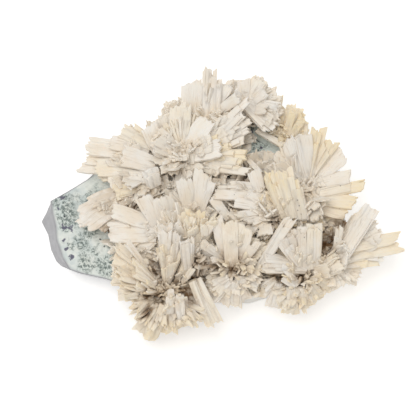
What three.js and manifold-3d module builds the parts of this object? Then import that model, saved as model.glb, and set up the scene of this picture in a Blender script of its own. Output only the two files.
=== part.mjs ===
// Quartz pseudomorph specimen: a broken plate of pale chalcedony, and on it sprays of
// bladed crystals whose shape quartz has taken over. Each spray grew from a centre of its
// own: its blades run outwards like the petals of a flower and share one root.
// Millimetres, +Z up; the plate's underside is flat and lies at z = 0.
import * as THREE from 'three';
import { mergeVertices } from 'three/addons/utils/BufferGeometryUtils.js';
import Module from 'manifold-3d';

const wasm = await Module();
wasm.setup();

// Driving dimensions
const GAP = 0.35;            // clearance between pieces that touch
const FACET_TOLERANCE = 0.05;  // edges shorter than this are left out

const EDGE_HEIGHT = 14;      // the plate at its broken edge
const DOME = 9;              // how much higher the plate's middle is
const PLATE_MIDDLE = [-12, 8];
const TOP_RINGS = [0.94, 0.8, 0.58, 0.3];  // rings of points from edge to middle
const LUMP = { height: 1.1, across: 5.3, along: 6.1, ripple: 3.7, rippleShare: 0.6 };

const HEART_SIDES = 6;
const HEART_SUNK = 4;        // how far a heart reaches below the plate's edge height
const HEART_FOOT = 1.25;     // radius of a heart's underside, in parts of its size
const HEART_RINGS = [[1.8, -0.45], [0.7, 0.45]];  // radius and height above the centre
const BLADE_START = 0.12;    // where a blade begins inside the heart, in parts of its length

// How much the blades of a fan differ: their lift and bearing as parts of the band and the
// step, their spread as parts of the room each has, and their length and their tips' slant as
// parts of the length.
const VARY = {
  lift: [-0.12, 0.12],
  turn: [-0.05, 0.05],
  spread: [0.82, 0.95],
  rise: [0.7, 0.88],
  length: [0.86, 1],
  slantSide: [-0.08, 0.08],
  slantUp: [-0.16, 0],
};

const PLATE_COLOUR = 0xd8dcd6;
const QUARTZ_COLOUR = 0xe4dbcc;
const YELLOW_COLOUR = 0xe7d6b8;

// The plate's top edge, anticlockwise from its west corner: x, y, height above the general
// edge, and how far the broken wall's foot stands out from it (inwards where negative).
const EDGE = [
  [-96, 6.4, 0, 3], [-95, -0.2, 0, 7.5], [-93, -7.8, -1, 5.5], [-92, -16.6, 0, 4.5],
  [-89.4, -23, 0, 4], [-88.4, -26.5, -1, 2], [-84, -33.4, -1, -4], [-76, -36.3, 0, -5],
  [-66, -38.8, 1, -5], [-55, -42, 0, -4], [-40, -46, 1, -4], [-22, -47, -1, -4],
  [-4.4, -48.8, 0, 0], [15, -49, 0, 0], [38, -46, 1, -4], [58, -40, -1, -4],
  [68, -28, 0, -4], [70, -13, 1, -4], [66, 7, 0, -4], [60, 27, -1, -4],
  [50, 46, 0, -4], [35, 59, 1, -4], [17, 68, 0, -4], [-5, 68, 0, -4],
  [-22, 62, -1, -4], [-42, 48, 0, -4], [-60, 34, 1, -4], [-76, 19.2, 0, -3],
  [-85.7, 12.7, 0, -1], [-93, 8.2, 0, 1],
];

// Every spray: its centre, the size of the solid heart that its blades share, and its fans
// of blades. A fan runs from one bearing to another (degrees from +X) and fills a band of
// lift (degrees above level); its blades' length, measured from the centre, goes with it.
// Many blades in a deep band stand on edge, and few in a thin one lie flat.
const SPRAYS = [
  { name: 'crown_spray', at: [-21.5, 26.5, 29], heart: 9, fans: [
    { bearing: [43, 21], lift: [12, 26], length: [45, 42], count: 3 },
    { bearing: [-7, -26], lift: [2, 16], length: [38, 41], count: 2 },
    { bearing: [34, -8], lift: [35, 46], length: [25, 29], count: 3 },
    { bearing: [16, -5], lift: [12, 28], length: [34, 36], count: 2 },
    { bearing: [-32, -104], lift: [4, 30], length: [20, 18], count: 3 },
    { bearing: [-104, -165], lift: [18, 44], length: [24, 18], count: 3 },
    { bearing: [190, 135], lift: [14, 38], length: [18, 23], count: 2 },
    { bearing: [126, 70], lift: [8, 32], length: [26, 31], count: 3 },
    { bearing: [-180, 180], lift: [52, 74], length: [23, 24], count: 3 },
  ] },
  { name: 'summit_spray', at: [-9, 48, 26], heart: 8, fans: [
    { bearing: [129, 90], lift: [20, 32], length: [25, 24], count: 2 },
    { bearing: [90, 70], lift: [38, 54], length: [30.5, 30], count: 2 },
    { bearing: [78, 38], lift: [24, 36], length: [28, 27], count: 2 },
    { bearing: [34, -4], lift: [5, 26], length: [18, 18], count: 1 },
    { bearing: [172, 130], lift: [4, 18], length: [17, 18], count: 1 },
    { bearing: [110, 400], lift: [56, 76], length: [20, 20], count: 3 },
  ] },
  { name: 'north_east_spray', at: [9, 61, 25], heart: 7.5, fans: [
    { bearing: [122, 62], lift: [26, 44], length: [11, 14], count: 3 },
    { bearing: [60, 4], lift: [16, 32], length: [18, 26], count: 3 },
    { bearing: [2, -44], lift: [8, 28], length: [25, 30], count: 3 },
    { bearing: [-48, -80], lift: [6, 24], length: [20, 14], count: 1 },
    { bearing: [-120, 200], lift: [50, 74], length: [14, 15], count: 3 },
  ] },
  { name: 'east_shoulder_tuft', at: [35, 48, 21], heart: 6, fans: [
    { bearing: [110, 46], lift: [8, 32], length: [12, 14], count: 2 },
    { bearing: [42, -24], lift: [6, 30], length: [13, 15], count: 3 },
    { bearing: [-30, -160], lift: [8, 34], length: [14, 11], count: 3 },
    { bearing: [-180, 180], lift: [44, 68], length: [13, 13], count: 3 },
  ] },
  { name: 'east_rosette', at: [47.5, 11, 20], heart: 9, fans: [
    { bearing: [120, 66], lift: [14, 42], length: [33, 37], count: 4 },
    { bearing: [64, 32], lift: [16, 30], length: [35, 30], count: 2 },
    { bearing: [26, 6], lift: [8, 24], length: [25, 25], count: 1 },
    { bearing: [2, -9], lift: [10, 26], length: [31, 31], count: 1 },
    { bearing: [-12, -58], lift: [6, 24], length: [31, 25], count: 3 },
    { bearing: [-64, -104], lift: [16, 40], length: [25, 24], count: 2 },
    { bearing: [166, 124], lift: [22, 46], length: [29, 27], count: 3 },
    { bearing: [200, 170], lift: [10, 34], length: [18, 22], count: 1 },
    { bearing: [-180, 180], lift: [50, 74], length: [21, 21], count: 3 },
  ] },
  { name: 'ridge_sheaf', at: [37, -10, 22], heart: 7, fans: [
    { bearing: [123, 66], lift: [28, 52], length: [39, 28], count: 5 },
    { bearing: [128, 76], lift: [56, 74], length: [30, 28], count: 2 },
    { bearing: [150, 128], lift: [16, 40], length: [24, 28], count: 1 },
    { bearing: [-70, -140], lift: [4, 36], length: [12, 12], count: 1 },
  ] },
  { name: 'east_fan', at: [58, -32.5, 20], heart: 8, fans: [
    { bearing: [64, 45], lift: [16, 36], length: [42, 45], count: 2 },
    { bearing: [44, 26], lift: [5, 22], length: [36, 36], count: 1 },
    { bearing: [24, 3], lift: [2, 18], length: [45, 39], count: 2 },
    { bearing: [-2, -86], lift: [-1, 18], length: [20, 13], count: 3 },
    { bearing: [90, 66], lift: [20, 44], length: [22, 24], count: 1 },
    { bearing: [110, -40], lift: [40, 66], length: [20, 18], count: 2 },
  ] },
  { name: 'south_east_rosette', at: [44, -42, 20], heart: 8, fans: [
    { bearing: [120, 68], lift: [28, 54], length: [36, 34], count: 5 },
    { bearing: [172, 120], lift: [16, 28], length: [28, 24], count: 3 },
    { bearing: [62, 8], lift: [18, 44], length: [26, 24], count: 3 },
    { bearing: [4, -66], lift: [0, 22], length: [17, 14], count: 2 },
    { bearing: [-70, -128], lift: [-4, 18], length: [14, 21], count: 3 },
    { bearing: [-130, -184], lift: [-2, 22], length: [22, 26], count: 2 },
    { bearing: [0, -200], lift: [30, 58], length: [16, 17], count: 2 },
  ] },
  { name: 'south_rosette', at: [6.5, -34.5, 22], heart: 7, fans: [
    { bearing: [155, 104], lift: [20, 48], length: [25, 23], count: 3 },
    { bearing: [106, 66], lift: [34, 58], length: [27, 26], count: 3 },
    { bearing: [62, 14], lift: [26, 42], length: [26, 23], count: 3 },
    { bearing: [10, -56], lift: [2, 26], length: [15, 20], count: 2 },
    { bearing: [-60, -134], lift: [-4, 18], length: [18, 21], count: 3 },
    { bearing: [-138, -188], lift: [2, 24], length: [19, 23], count: 2 },
    { bearing: [0, -200], lift: [32, 60], length: [16, 17], count: 2 },
  ] },
  { name: 'south_west_rosette', at: [-29.5, -49.5, 22], heart: 8, fans: [
    { bearing: [160, 112], lift: [8, 34], length: [36, 36], count: 3 },
    { bearing: [112, 54], lift: [24, 52], length: [37, 35], count: 4 },
    { bearing: [184, 162], lift: [4, 26], length: [28, 31], count: 2 },
    { bearing: [-126, -176], lift: [-2, 18], length: [24, 27], count: 3 },
    { bearing: [-122, -103], lift: [-4, 16], length: [25, 25], count: 1 },
    { bearing: [-100, -54], lift: [-4, 16], length: [21, 22], count: 3 },
    { bearing: [-50, -28], lift: [-2, 18], length: [29, 28], count: 2 },
    { bearing: [-22, 48], lift: [10, 42], length: [23, 25], count: 3 },
    { bearing: [-30, -190], lift: [24, 50], length: [19, 20], count: 4 },
  ] },
  { name: 'west_sheaf', at: [-14, -32.5, 24], heart: 6, fans: [
    { bearing: [114, 60], lift: [28, 52], length: [31, 28], count: 3 },
    { bearing: [154, 122], lift: [16, 40], length: [33, 33], count: 2 },
    { bearing: [140, 50], lift: [58, 76], length: [21, 21], count: 1 },
    { bearing: [50, -10], lift: [10, 40], length: [16, 14], count: 1 },
  ] },
  { name: 'west_slabs', at: [-39.5, -16, 23], heart: 7, fans: [
    { bearing: [172, 134], lift: [20, 34], length: [26, 19], count: 2 },
    { bearing: [174, 206], lift: [4, 18], length: [27, 22], count: 2 },
    { bearing: [130, 50], lift: [22, 46], length: [19, 19], count: 2 },
    { bearing: [40, -60], lift: [12, 38], length: [18, 16], count: 2 },
    { bearing: [-66, -144], lift: [8, 30], length: [16, 18], count: 2 },
    { bearing: [-180, 180], lift: [52, 74], length: [15, 15], count: 2 },
  ] },
  { name: 'west_plates', at: [-41.5, 19.5, 25], heart: 8, fans: [
    { bearing: [176, 150], lift: [8, 24], length: [37, 31], count: 3 },
    { bearing: [150, 108], lift: [14, 34], length: [24, 19], count: 2 },
    { bearing: [192, 175], lift: [-2, 8], length: [34, 41], count: 2 },
    { bearing: [196, 300], lift: [6, 32], length: [24, 17], count: 3 },
    { bearing: [178, 146], lift: [28, 42], length: [30, 25], count: 2 },
    { bearing: [-180, 180], lift: [50, 74], length: [16, 16], count: 2 },
  ] },
  { name: 'north_west_plates', at: [-33, 33, 25], heart: 6, fans: [
    { bearing: [166, 150], lift: [6, 20], length: [25, 22], count: 1 },
    { bearing: [150, 84], lift: [12, 34], length: [15, 17], count: 3 },
    { bearing: [170, 60], lift: [40, 66], length: [14, 14], count: 2 },
  ] },
  { name: 'west_paddle', at: [-52.5, 6, 21], heart: 6, fans: [
    { bearing: [-166, -116], lift: [-2, 18], length: [30, 29], count: 4 },
    { bearing: [-158, -130], lift: [22, 34], length: [30, 28], count: 2 },
  ] },
  { name: 'inner_rosette', at: [27.5, -5, 25], heart: 6, fans: [
    { bearing: [182, 150], lift: [6, 30], length: [22, 18], count: 1 },
    { bearing: [184, 222], lift: [8, 30], length: [27, 21], count: 3 },
    { bearing: [226, 290], lift: [8, 34], length: [18, 18], count: 3 },
    { bearing: [140, 300], lift: [40, 64], length: [15, 15], count: 2 },
  ] },
  { name: 'inner_sheaf', at: [22, 9, 24], heart: 6, fans: [
    { bearing: [172, 204], lift: [0, 22], length: [27, 27], count: 3 },
    { bearing: [165, 200], lift: [26, 46], length: [20, 20], count: 2 },
    { bearing: [140, 70], lift: [8, 30], length: [12, 10], count: 1 },
  ] },
  { name: 'shell_sheaf', at: [-14.5, -7, 25], heart: 6, fans: [
    { bearing: [90, 64], lift: [32, 50], length: [25, 22], count: 2 },
    { bearing: [119, 91], lift: [34, 52], length: [26, 26], count: 2 },
    { bearing: [154, 121], lift: [18, 42], length: [25, 26], count: 2 },
    { bearing: [150, 60], lift: [58, 76], length: [17, 16], count: 2 },
    { bearing: [56, 4], lift: [12, 36], length: [15, 13], count: 2 },
    { bearing: [-20, -200], lift: [30, 56], length: [11, 12], count: 2 },
  ] },
];
const YELLOW_SPRAYS = ['ridge_sheaf', 'east_shoulder_tuft'];

const radians = THREE.MathUtils.degToRad;
const mix = THREE.MathUtils.lerp;

// Repeatable chance: the same seed always throws the same numbers from low to high.
function dice(seed) {
  let state = seed;
  return (low, high) => {
    state = (state * 1664525 + 1013904223) % 4294967296;
    return low + (high - low) * (state / 4294967296);
  };
}

// The blades of one spray: each one's bearing and lift, half its spread in both, its length
// and how far its tip slants to either side.
function bladesOf(spray, seed) {
  const throwDice = dice(seed);
  const blades = [];
  for (const fan of spray.fans) {
    const step = (fan.bearing[1] - fan.bearing[0]) / fan.count;
    const band = fan.lift[1] - fan.lift[0];
    for (let i = 0; i < fan.count; i += 1) {
      const share = (i + 0.5) / fan.count;
      const lift = (fan.lift[0] + fan.lift[1]) / 2 + band * throwDice(...VARY.lift);
      blades.push({
        lift,
        bearing: fan.bearing[0] + step * (i + 0.5 + throwDice(...VARY.turn)),
        halfTurn: Math.abs(step) / 2 * Math.cos(radians(lift)) * throwDice(...VARY.spread),
        halfBand: band / 2 * throwDice(...VARY.rise),
        length: mix(fan.length[0], fan.length[1], share) * throwDice(...VARY.length),
        slantSide: throwDice(...VARY.slantSide),
        slantUp: throwDice(...VARY.slantUp),
      });
    }
  }
  return blades;
}

// A closed geometry as a solid that can be joined and cut.
function solidOf(geometry) {
  geometry.deleteAttribute('normal');
  geometry.deleteAttribute('uv');
  const merged = mergeVertices(geometry, 1e-4);
  return new wasm.Manifold(new wasm.Mesh({
    numProp: 3,
    vertProperties: new Float32Array(merged.attributes.position.array),
    triVerts: new Uint32Array(merged.index.array),
  }));
}

// One blade as a wedge that widens from the heart and ends in a slanted tip. To grow it, each
// of its flat faces moves out by the same amount.
function bladeSolid(spray, blade, grow) {
  const shape = new THREE.BoxGeometry(2, 2, 2);
  const points = shape.attributes.position;
  const spread = Math.tan(radians(blade.halfTurn));
  const rise = Math.tan(radians(blade.halfBand));
  const tipSlope = [blade.slantSide / spread, blade.slantUp / rise];
  for (let i = 0; i < points.count; i += 1) {
    const side = points.getY(i);
    const up = points.getZ(i);
    const isTip = points.getX(i) > 0;
    const slant = 1 + side * blade.slantSide + up * blade.slantUp;
    const along = blade.length * (isTip ? slant : BLADE_START);
    const tipGrow = Math.hypot(1, ...tipSlope) + side * tipSlope[0] + up * tipSlope[1];
    const end = along + grow * (isTip ? tipGrow : -1);
    points.setXYZ(i, end, side * (end * spread + grow), up * (end * rise + grow));
  }
  shape.rotateY(radians(-blade.lift));
  shape.rotateZ(radians(blade.bearing));
  shape.translate(...spray.at);
  return solidOf(shape);
}

// A spray's heart: the mass of grown-together crystal that its blades share, from which only
// their outer parts stand free. It reaches down into the plate.
function heartSolid(spray, grow) {
  const profile = HEART_RINGS.map(([radius, rise]) => new THREE.Vector2(
    spray.heart * radius + grow,
    spray.at[2] + spray.heart * rise + grow,
  ));
  const under = EDGE_HEIGHT - HEART_SUNK - grow;
  profile.unshift(new THREE.Vector2(spray.heart * HEART_FOOT + grow, under));
  profile.unshift(new THREE.Vector2(0, under));
  profile.push(new THREE.Vector2(0, profile[profile.length - 1].y));
  const shape = new THREE.LatheGeometry(profile, HEART_SIDES);
  shape.rotateX(Math.PI / 2);
  shape.translate(spray.at[0], spray.at[1], 0);
  return solidOf(shape);
}

function spraySolid(spray, seed, grow) {
  let solid = heartSolid(spray, grow);
  for (const blade of bladesOf(spray, seed)) {
    solid = solid.add(bladeSolid(spray, blade, grow));
  }
  return solid;
}

// How far the plate's top rises or falls at a point because of its lumps.
function lumpAt(x, y) {
  const swell = Math.sin(x / LUMP.across) * Math.cos(y / LUMP.along);
  const ripple = Math.sin((x + y) / LUMP.ripple);
  return LUMP.height * (swell + LUMP.rippleShare * ripple);
}

// The plate: a flat foot, a broken wall and a low, lumpy dome, turned about its middle and
// then drawn out to the edge's outline.
function plateSolid(grow) {
  const rings = [{ scale: 0 }, { scale: 1, foot: true }, { scale: 1 }];
  rings.push(...TOP_RINGS.map((scale) => ({ scale })), { scale: 0 });
  const profile = rings.map((ring, j) => new THREE.Vector2(ring.scale, j / rings.length));
  const shape = new THREE.LatheGeometry(profile, EDGE.length);
  const points = shape.attributes.position;
  for (let i = 0; i < points.count; i += 1) {
    const [x, y, rise, foot] = EDGE[Math.floor(i / rings.length) % EDGE.length];
    const j = i % rings.length;
    const ring = rings[j];
    const out = new THREE.Vector2(x - PLATE_MIDDLE[0], y - PLATE_MIDDLE[1]);
    const reach = out.length();
    out.setLength(reach * ring.scale + (ring.scale > 0 ? grow : 0) + (ring.foot ? foot : 0));
    const px = PLATE_MIDDLE[0] + out.x;
    const py = PLATE_MIDDLE[1] + out.y;
    const dome = DOME * (1 - ring.scale ** 2) + (ring.scale < 1 ? lumpAt(px, py) : 0);
    const top = EDGE_HEIGHT + rise * ring.scale + dome + grow;
    points.setXYZ(i, px, py, j < 2 ? -grow : top);
  }
  return solidOf(shape);
}

// The largest body of a solid, with any hollow closed in it filled.
function mainBody(solid) {
  const bodies = solid.decompose().filter((body) => body.volume() > 0);
  bodies.sort((a, b) => b.volume() - a.volume());
  return bodies[0];
}

function meshOf(name, solid, colour, roughness) {
  const { vertProperties, triVerts } = solid.getMesh();
  const geometry = new THREE.BufferGeometry();
  geometry.setAttribute('position', new THREE.BufferAttribute(vertProperties, 3));
  geometry.setIndex(new THREE.BufferAttribute(triVerts, 1));
  geometry.computeVertexNormals();
  const mesh = new THREE.Mesh(
    geometry,
    new THREE.MeshStandardMaterial({ color: colour, roughness, metalness: 0, flatShading: true }),
  );
  mesh.name = name;
  return mesh;
}

const specimen = new THREE.Group();
specimen.name = 'quartz_pseudomorph_specimen';
specimen.add(meshOf('matrix_plate', plateSolid(0), PLATE_COLOUR, 0.8));

// Where two sprays meet, the one listed first grows through and the other stops against it.
let taken = plateSolid(GAP);
SPRAYS.forEach((spray, index) => {
  const whole = spraySolid(spray, index + 1, 0);
  const body = mainBody(whole.subtract(taken).simplify(FACET_TOLERANCE));
  const colour = YELLOW_SPRAYS.includes(spray.name) ? YELLOW_COLOUR : QUARTZ_COLOUR;
  specimen.add(meshOf(spray.name, body, colour, 0.85));
  taken = taken.add(spraySolid(spray, index + 1, GAP));
});

// The origin lies under the middle of the whole specimen.
const middle = new THREE.Box3().setFromObject(specimen).getCenter(new THREE.Vector3());
specimen.position.set(-middle.x, -middle.y, 0);

export default specimen;
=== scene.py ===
import math

import bpy
import numpy as np
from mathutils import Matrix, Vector, noise


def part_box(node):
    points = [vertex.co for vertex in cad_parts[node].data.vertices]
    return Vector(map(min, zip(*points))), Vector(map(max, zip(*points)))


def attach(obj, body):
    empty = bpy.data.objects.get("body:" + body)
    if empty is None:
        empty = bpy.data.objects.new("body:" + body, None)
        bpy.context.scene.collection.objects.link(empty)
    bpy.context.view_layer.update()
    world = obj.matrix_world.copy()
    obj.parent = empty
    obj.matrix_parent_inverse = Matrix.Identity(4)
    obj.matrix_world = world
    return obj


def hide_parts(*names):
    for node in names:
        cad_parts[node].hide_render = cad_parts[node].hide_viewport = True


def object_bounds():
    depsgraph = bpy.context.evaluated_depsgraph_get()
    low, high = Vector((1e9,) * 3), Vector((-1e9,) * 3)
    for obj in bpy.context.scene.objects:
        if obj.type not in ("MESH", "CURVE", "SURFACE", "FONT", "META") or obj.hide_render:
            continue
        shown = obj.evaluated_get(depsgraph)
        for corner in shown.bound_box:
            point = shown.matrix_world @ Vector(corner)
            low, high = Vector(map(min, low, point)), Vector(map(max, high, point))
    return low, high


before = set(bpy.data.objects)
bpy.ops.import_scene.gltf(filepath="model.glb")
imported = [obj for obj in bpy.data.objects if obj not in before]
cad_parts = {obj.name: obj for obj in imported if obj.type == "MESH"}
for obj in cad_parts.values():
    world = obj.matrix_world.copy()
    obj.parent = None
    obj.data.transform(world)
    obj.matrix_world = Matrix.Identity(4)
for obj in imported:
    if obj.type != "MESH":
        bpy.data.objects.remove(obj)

cad_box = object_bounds()

# ------------------------------------------------------------------------------------------
# The plate is chalcedony: a hard, waxy, pale green-white slab with moss-like dark growths in
# it. It was broken out of a seam, so its wall is a clean lavender-grey fracture, its top is
# lumpy and pitted, and it lies on a flat underside. The crystals grew on its top.

# Its top edge in millimetres, anticlockwise from the west corner: x, y, height above the
# general edge, and how far the wall's foot stands out from it.
PLATE_EDGE = [
    (-96, 6.4, 0, 3), (-95, -0.2, 0, 7.5), (-93, -7.8, -1, 5.5), (-92, -16.6, 0, 4.5),
    (-89.4, -23, 0, 4), (-88.4, -26.5, -1, 2), (-84, -33.4, -1, -4), (-76, -36.3, 0, -5),
    (-66, -38.8, 1, -5), (-55, -42, 0, -4), (-40, -46, 1, -4), (-22, -47, -1, -4),
    (-4.4, -48.8, 0, 0), (15, -49, 0, 0), (38, -46, 1, -4), (58, -40, -1, -4),
    (68, -28, 0, -4), (70, -13, 1, -4), (66, 7, 0, -4), (60, 27, -1, -4),
    (50, 46, 0, -4), (35, 59, 1, -4), (17, 68, 0, -4), (-5, 68, 0, -4),
    (-22, 62, -1, -4), (-42, 48, 0, -4), (-60, 34, 1, -4), (-76, 19.2, 0, -3),
    (-85.7, 12.7, 0, -1), (-93, 8.2, 0, 1),
]
PLATE_MIDDLE = (-12.0, 8.0)
PLATE_EDGE_HEIGHT = 14.0
PLATE_DOME = 9.0
PLATE_COLUMNS = 14           # columns of the mesh between two points of the edge
PLATE_RINGS = 92             # rings of the mesh on its top
WALL_ROWS = 12
EDGE_FADE = 14               # how sharply the lumps level out at the edge
SUNK = 0.3                   # how much lower the grained top lies than its smooth form
# Where the dark moss and the slate-blue blotches gather, and where painted light lifts the stone
# to its palest green in the open window at the back, against the shade of the crystals round it:
# x, y and radius in millimetres.
MOSS_PATCHES = [
    (-65, -23, 8), (-64, -33, 8), (-81, -3, 9), (-72, -12, 7), (-76, 6, 8), (-76, -30, 4),
    (-86, 3, 4), (15, 50, 6), (16, 45, 4), (22, 37, 4), (30, 30, 4),
]
SLATE_PATCHES = [
    (-88, -9, 3), (-84, -10, 2.5), (-87.5, -17, 2.5), (-86, -22, 2), (-83, -26.5, 2.5),
    (-91, 1, 2), (-90, 8, 2.5), (16, 47, 3), (22, 37, 2),
]
WINDOW_PAINTED_LIGHT = [(24, 41, 15)]
# The share that the wall and the foot carry, past the 1 of the top's edge.
ON_THE_WALL = 1.2

plate_outline = np.array(PLATE_EDGE, dtype=float)
middle = np.array(PLATE_MIDDLE)


def around(values, columns):
    """The values at each column round the plate, straight from one point to the next."""
    share = np.arange(columns) / columns
    following = np.roll(values, -1, axis=0)
    steps = [values * (1 - s) + following * s for s in share]
    return np.stack(steps, axis=1).reshape(-1, *values.shape[1:])


def plate_lumps(x, y):
    return 1.1 * (math.sin(x / 5.3) * math.cos(y / 6.1) + 0.6 * math.sin((x + y) / 3.7))


edge_arms = plate_outline[:, :2] - middle


def plate_share(x, y):
    """How far out a point of the plate lies: 0 at its middle, 1 at its edge."""
    arm = np.array((x, y)) - middle
    if math.hypot(*arm) < 0.01:
        return 0.0
    for k in range(len(edge_arms)):
        a, b = edge_arms[k], edge_arms[(k + 1) % len(edge_arms)]
        cross = a[0] * b[1] - a[1] * b[0]
        u = (arm[0] * b[1] - arm[1] * b[0]) / cross
        v = (a[0] * arm[1] - a[1] * arm[0]) / cross
        if u >= -1e-9 and v >= -1e-9:
            return u + v
    return 0.0


def plate_top(x, y):
    """Height of the plate's top, without its finest grain."""
    scale = min(plate_share(x, y), 1.0)
    fade = min(1.0, (1 - scale) * EDGE_FADE)
    return PLATE_EDGE_HEIGHT + PLATE_DOME * (1 - scale**2) + plate_lumps(x, y) * fade


# The frame's origin lies under the middle of the whole specimen, so all of these points
# move over by the same amount, which the plate's own box gives.
foot_arms = edge_arms * (1 + plate_outline[:, 3:4] / np.linalg.norm(edge_arms, axis=1, keepdims=True))
wall_points = np.concatenate([edge_arms, foot_arms]) + middle
plate_low = np.array(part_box("matrix_plate")[0]) * 1000
SHIFT = np.array((*(plate_low[:2] - wall_points.min(axis=0)), 0.0))


def patches(places, spots):
    """How strongly each place lies in one of the round spots, from 0 to 1."""
    strength = np.zeros(len(places))
    for x, y, radius in spots:
        far = np.hypot(places[:, 0] - x, places[:, 1] - y) / radius
        strength = np.maximum(strength, np.exp(-(far**2)))
    return strength


def build_plate():
    columns = around(plate_outline, PLATE_COLUMNS)
    count = len(columns)
    arms = columns[:, :2] - middle
    reach = np.linalg.norm(arms, axis=1)
    heading = arms / reach[:, None]
    verts, share, rows = [], [], []

    def ring(points, how_far):
        rows.append(range(len(verts), len(verts) + count))
        verts.extend(points)
        share.extend([how_far] * count)

    for j in range(WALL_ROWS + 1):
        t = j / WALL_ROWS
        points = []
        for i in range(count):
            spread = 1 - t**1.3
            out = reach[i] + columns[i, 3] * spread
            px, py = middle + heading[i] * out
            place = Vector((px * 0.12, py * 0.12, t * 1.6))
            chip = noise.noise(place * 2.1) * 0.7 + noise.noise(place * 6.0) * 0.25
            out -= (0.5 + chip) * math.sin(math.pi * min(t, 0.98)) ** 0.7
            height = t * (PLATE_EDGE_HEIGHT + columns[i, 2])
            points.append((*(middle + heading[i] * out), height))
        ring(points, ON_THE_WALL)
    for j in range(1, PLATE_RINGS):
        scale = (1 - j / PLATE_RINGS) ** 0.94
        points = []
        for i in range(count):
            px, py = middle + heading[i] * reach[i] * scale
            fade = min(1.0, (1 - scale) * EDGE_FADE)
            place = Vector((px, py, 3.0))
            swell = noise.noise(place * 0.16) * 0.9
            knobs = (1 - abs(noise.noise(place * 0.42)) * 2) * 0.45
            pits = -1.6 * max(0.0, noise.noise(place * 0.33 + Vector((9, 4, 0))) - 0.36)
            fine = noise.noise(place * 1.3) * 0.14
            height = PLATE_EDGE_HEIGHT + columns[i, 2] * scale + PLATE_DOME * (1 - scale**2)
            height += (plate_lumps(px, py) + swell + knobs + pits) * fade + fine - SUNK
            points.append((px, py, height))
        ring(points, scale)
    faces = []
    for lower, upper in zip(rows, rows[1:]):
        for i in range(count):
            k = (i + 1) % count
            faces.append((lower[i], lower[k], upper[k], upper[i]))
    tip = len(verts)
    verts.append((*middle, plate_top(*middle)))
    foot = len(verts)
    verts.append((*middle, 0.0))
    share.extend((0.0, ON_THE_WALL))
    for i in range(count):
        k = (i + 1) % count
        faces.append((rows[-1][i], rows[-1][k], tip))
        faces.append((rows[0][k], rows[0][i], foot))
    mesh = bpy.data.meshes.new("matrix_plate_stone")
    places = np.array(verts)
    mesh.from_pydata((places + SHIFT) / 1000, [], faces)
    for label, values in (
        ("share", share),
        ("moss", patches(places, MOSS_PATCHES)),
        ("slate", patches(places, SLATE_PATCHES)),
        ("pale", patches(places, WINDOW_PAINTED_LIGHT)),
    ):
        mesh.attributes.new(label, "FLOAT", "POINT").data.foreach_set("value", values)
    mesh.update()
    mesh.shade_smooth()
    piece = bpy.data.objects.new("matrix_plate_stone", mesh)
    bpy.context.collection.objects.link(piece)
    return piece


def feed(tree, value, target):
    """Give an input a socket to follow, or a plain value of its own."""
    if isinstance(value, bpy.types.NodeSocket):
        tree.links.new(value, target)
    else:
        target.default_value = value


def add(tree, kind, links=(), **settings):
    """A node with its settings, and links from sockets to its inputs by name or number."""
    node = tree.nodes.new(kind)
    for key, value in settings.items():
        setattr(node, key, value)
    for socket, target in links:
        tree.links.new(socket, node.inputs[target])
    return node


def ramp(tree, source, low, high):
    """A smooth step of a value from 0 at low to 1 at high."""
    node = add(tree, "ShaderNodeMapRange", [(source, 0)], interpolation_type="SMOOTHSTEP")
    node.inputs[1].default_value = low
    node.inputs[2].default_value = high
    return node.outputs[0]


def mixed(tree, factor, first, second):
    """A colour between two, each a socket or a plain colour."""
    node = add(tree, "ShaderNodeMix", data_type="RGBA")
    for value, slot in ((factor, 0), (first, 6), (second, 7)):
        feed(tree, value, node.inputs[slot])
    return node.outputs[2]


def noise_of(tree, place, scale, detail=2.0, roughness=0.5):
    node = add(tree, "ShaderNodeTexNoise", [(place, "Vector")])
    feed(tree, scale, node.inputs["Scale"])
    node.inputs["Detail"].default_value = detail
    node.inputs["Roughness"].default_value = roughness
    return node.outputs[0]


def math_of(tree, operation, first, second):
    node = add(tree, "ShaderNodeMath", operation=operation)
    feed(tree, first, node.inputs[0])
    feed(tree, second, node.inputs[1])
    return node.outputs[0]


def bumped(tree, surface, height, strength):
    """Raise the surface's grain by a height that varies over it."""
    bump = add(tree, "ShaderNodeBump", [(height, "Height")])
    bump.inputs["Strength"].default_value = strength
    bump.inputs["Distance"].default_value = 0.0006
    tree.links.new(bump.outputs[0], surface.inputs["Normal"])


def specks_group():
    """Small dark specks that gather in places: the chalcedony and the quartz both have them."""
    group = bpy.data.node_groups.new("dark_specks", "ShaderNodeTree")
    for label, kind, value in (
        ("Colour", "NodeSocketColor", (1, 1, 1, 1)), ("Dark", "NodeSocketColor", (0, 0, 0, 1)),
        ("Place", "NodeSocketVector", None), ("Scale", "NodeSocketFloat", 250.0),
        ("Radius", "NodeSocketFloat", 0.1), ("Patch Scale", "NodeSocketFloat", 260.0),
        ("Patch Start", "NodeSocketFloat", 0.58),
    ):
        socket = group.interface.new_socket(label, in_out="INPUT", socket_type=kind)
        if value is not None:
            socket.default_value = value
    group.interface.new_socket("Colour", in_out="OUTPUT", socket_type="NodeSocketColor")
    given = group.nodes.new("NodeGroupInput").outputs
    spots = add(group, "ShaderNodeTexVoronoi", [(given["Place"], "Vector"), (given["Scale"], "Scale")])
    past = math_of(group, "SUBTRACT", spots.outputs["Distance"], given["Radius"])
    speck = math_of(group, "SUBTRACT", 1.0, ramp(group, past, -0.05, 0.05))
    patch = noise_of(group, given["Place"], given["Patch Scale"], 1.0)
    rare = ramp(group, math_of(group, "SUBTRACT", patch, given["Patch Start"]), 0.0, 0.04)
    result = mixed(group, math_of(group, "MULTIPLY", speck, rare), given["Colour"], given["Dark"])
    group.links.new(result, group.nodes.new("NodeGroupOutput").inputs[0])
    return group


dark_specks = specks_group()


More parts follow.
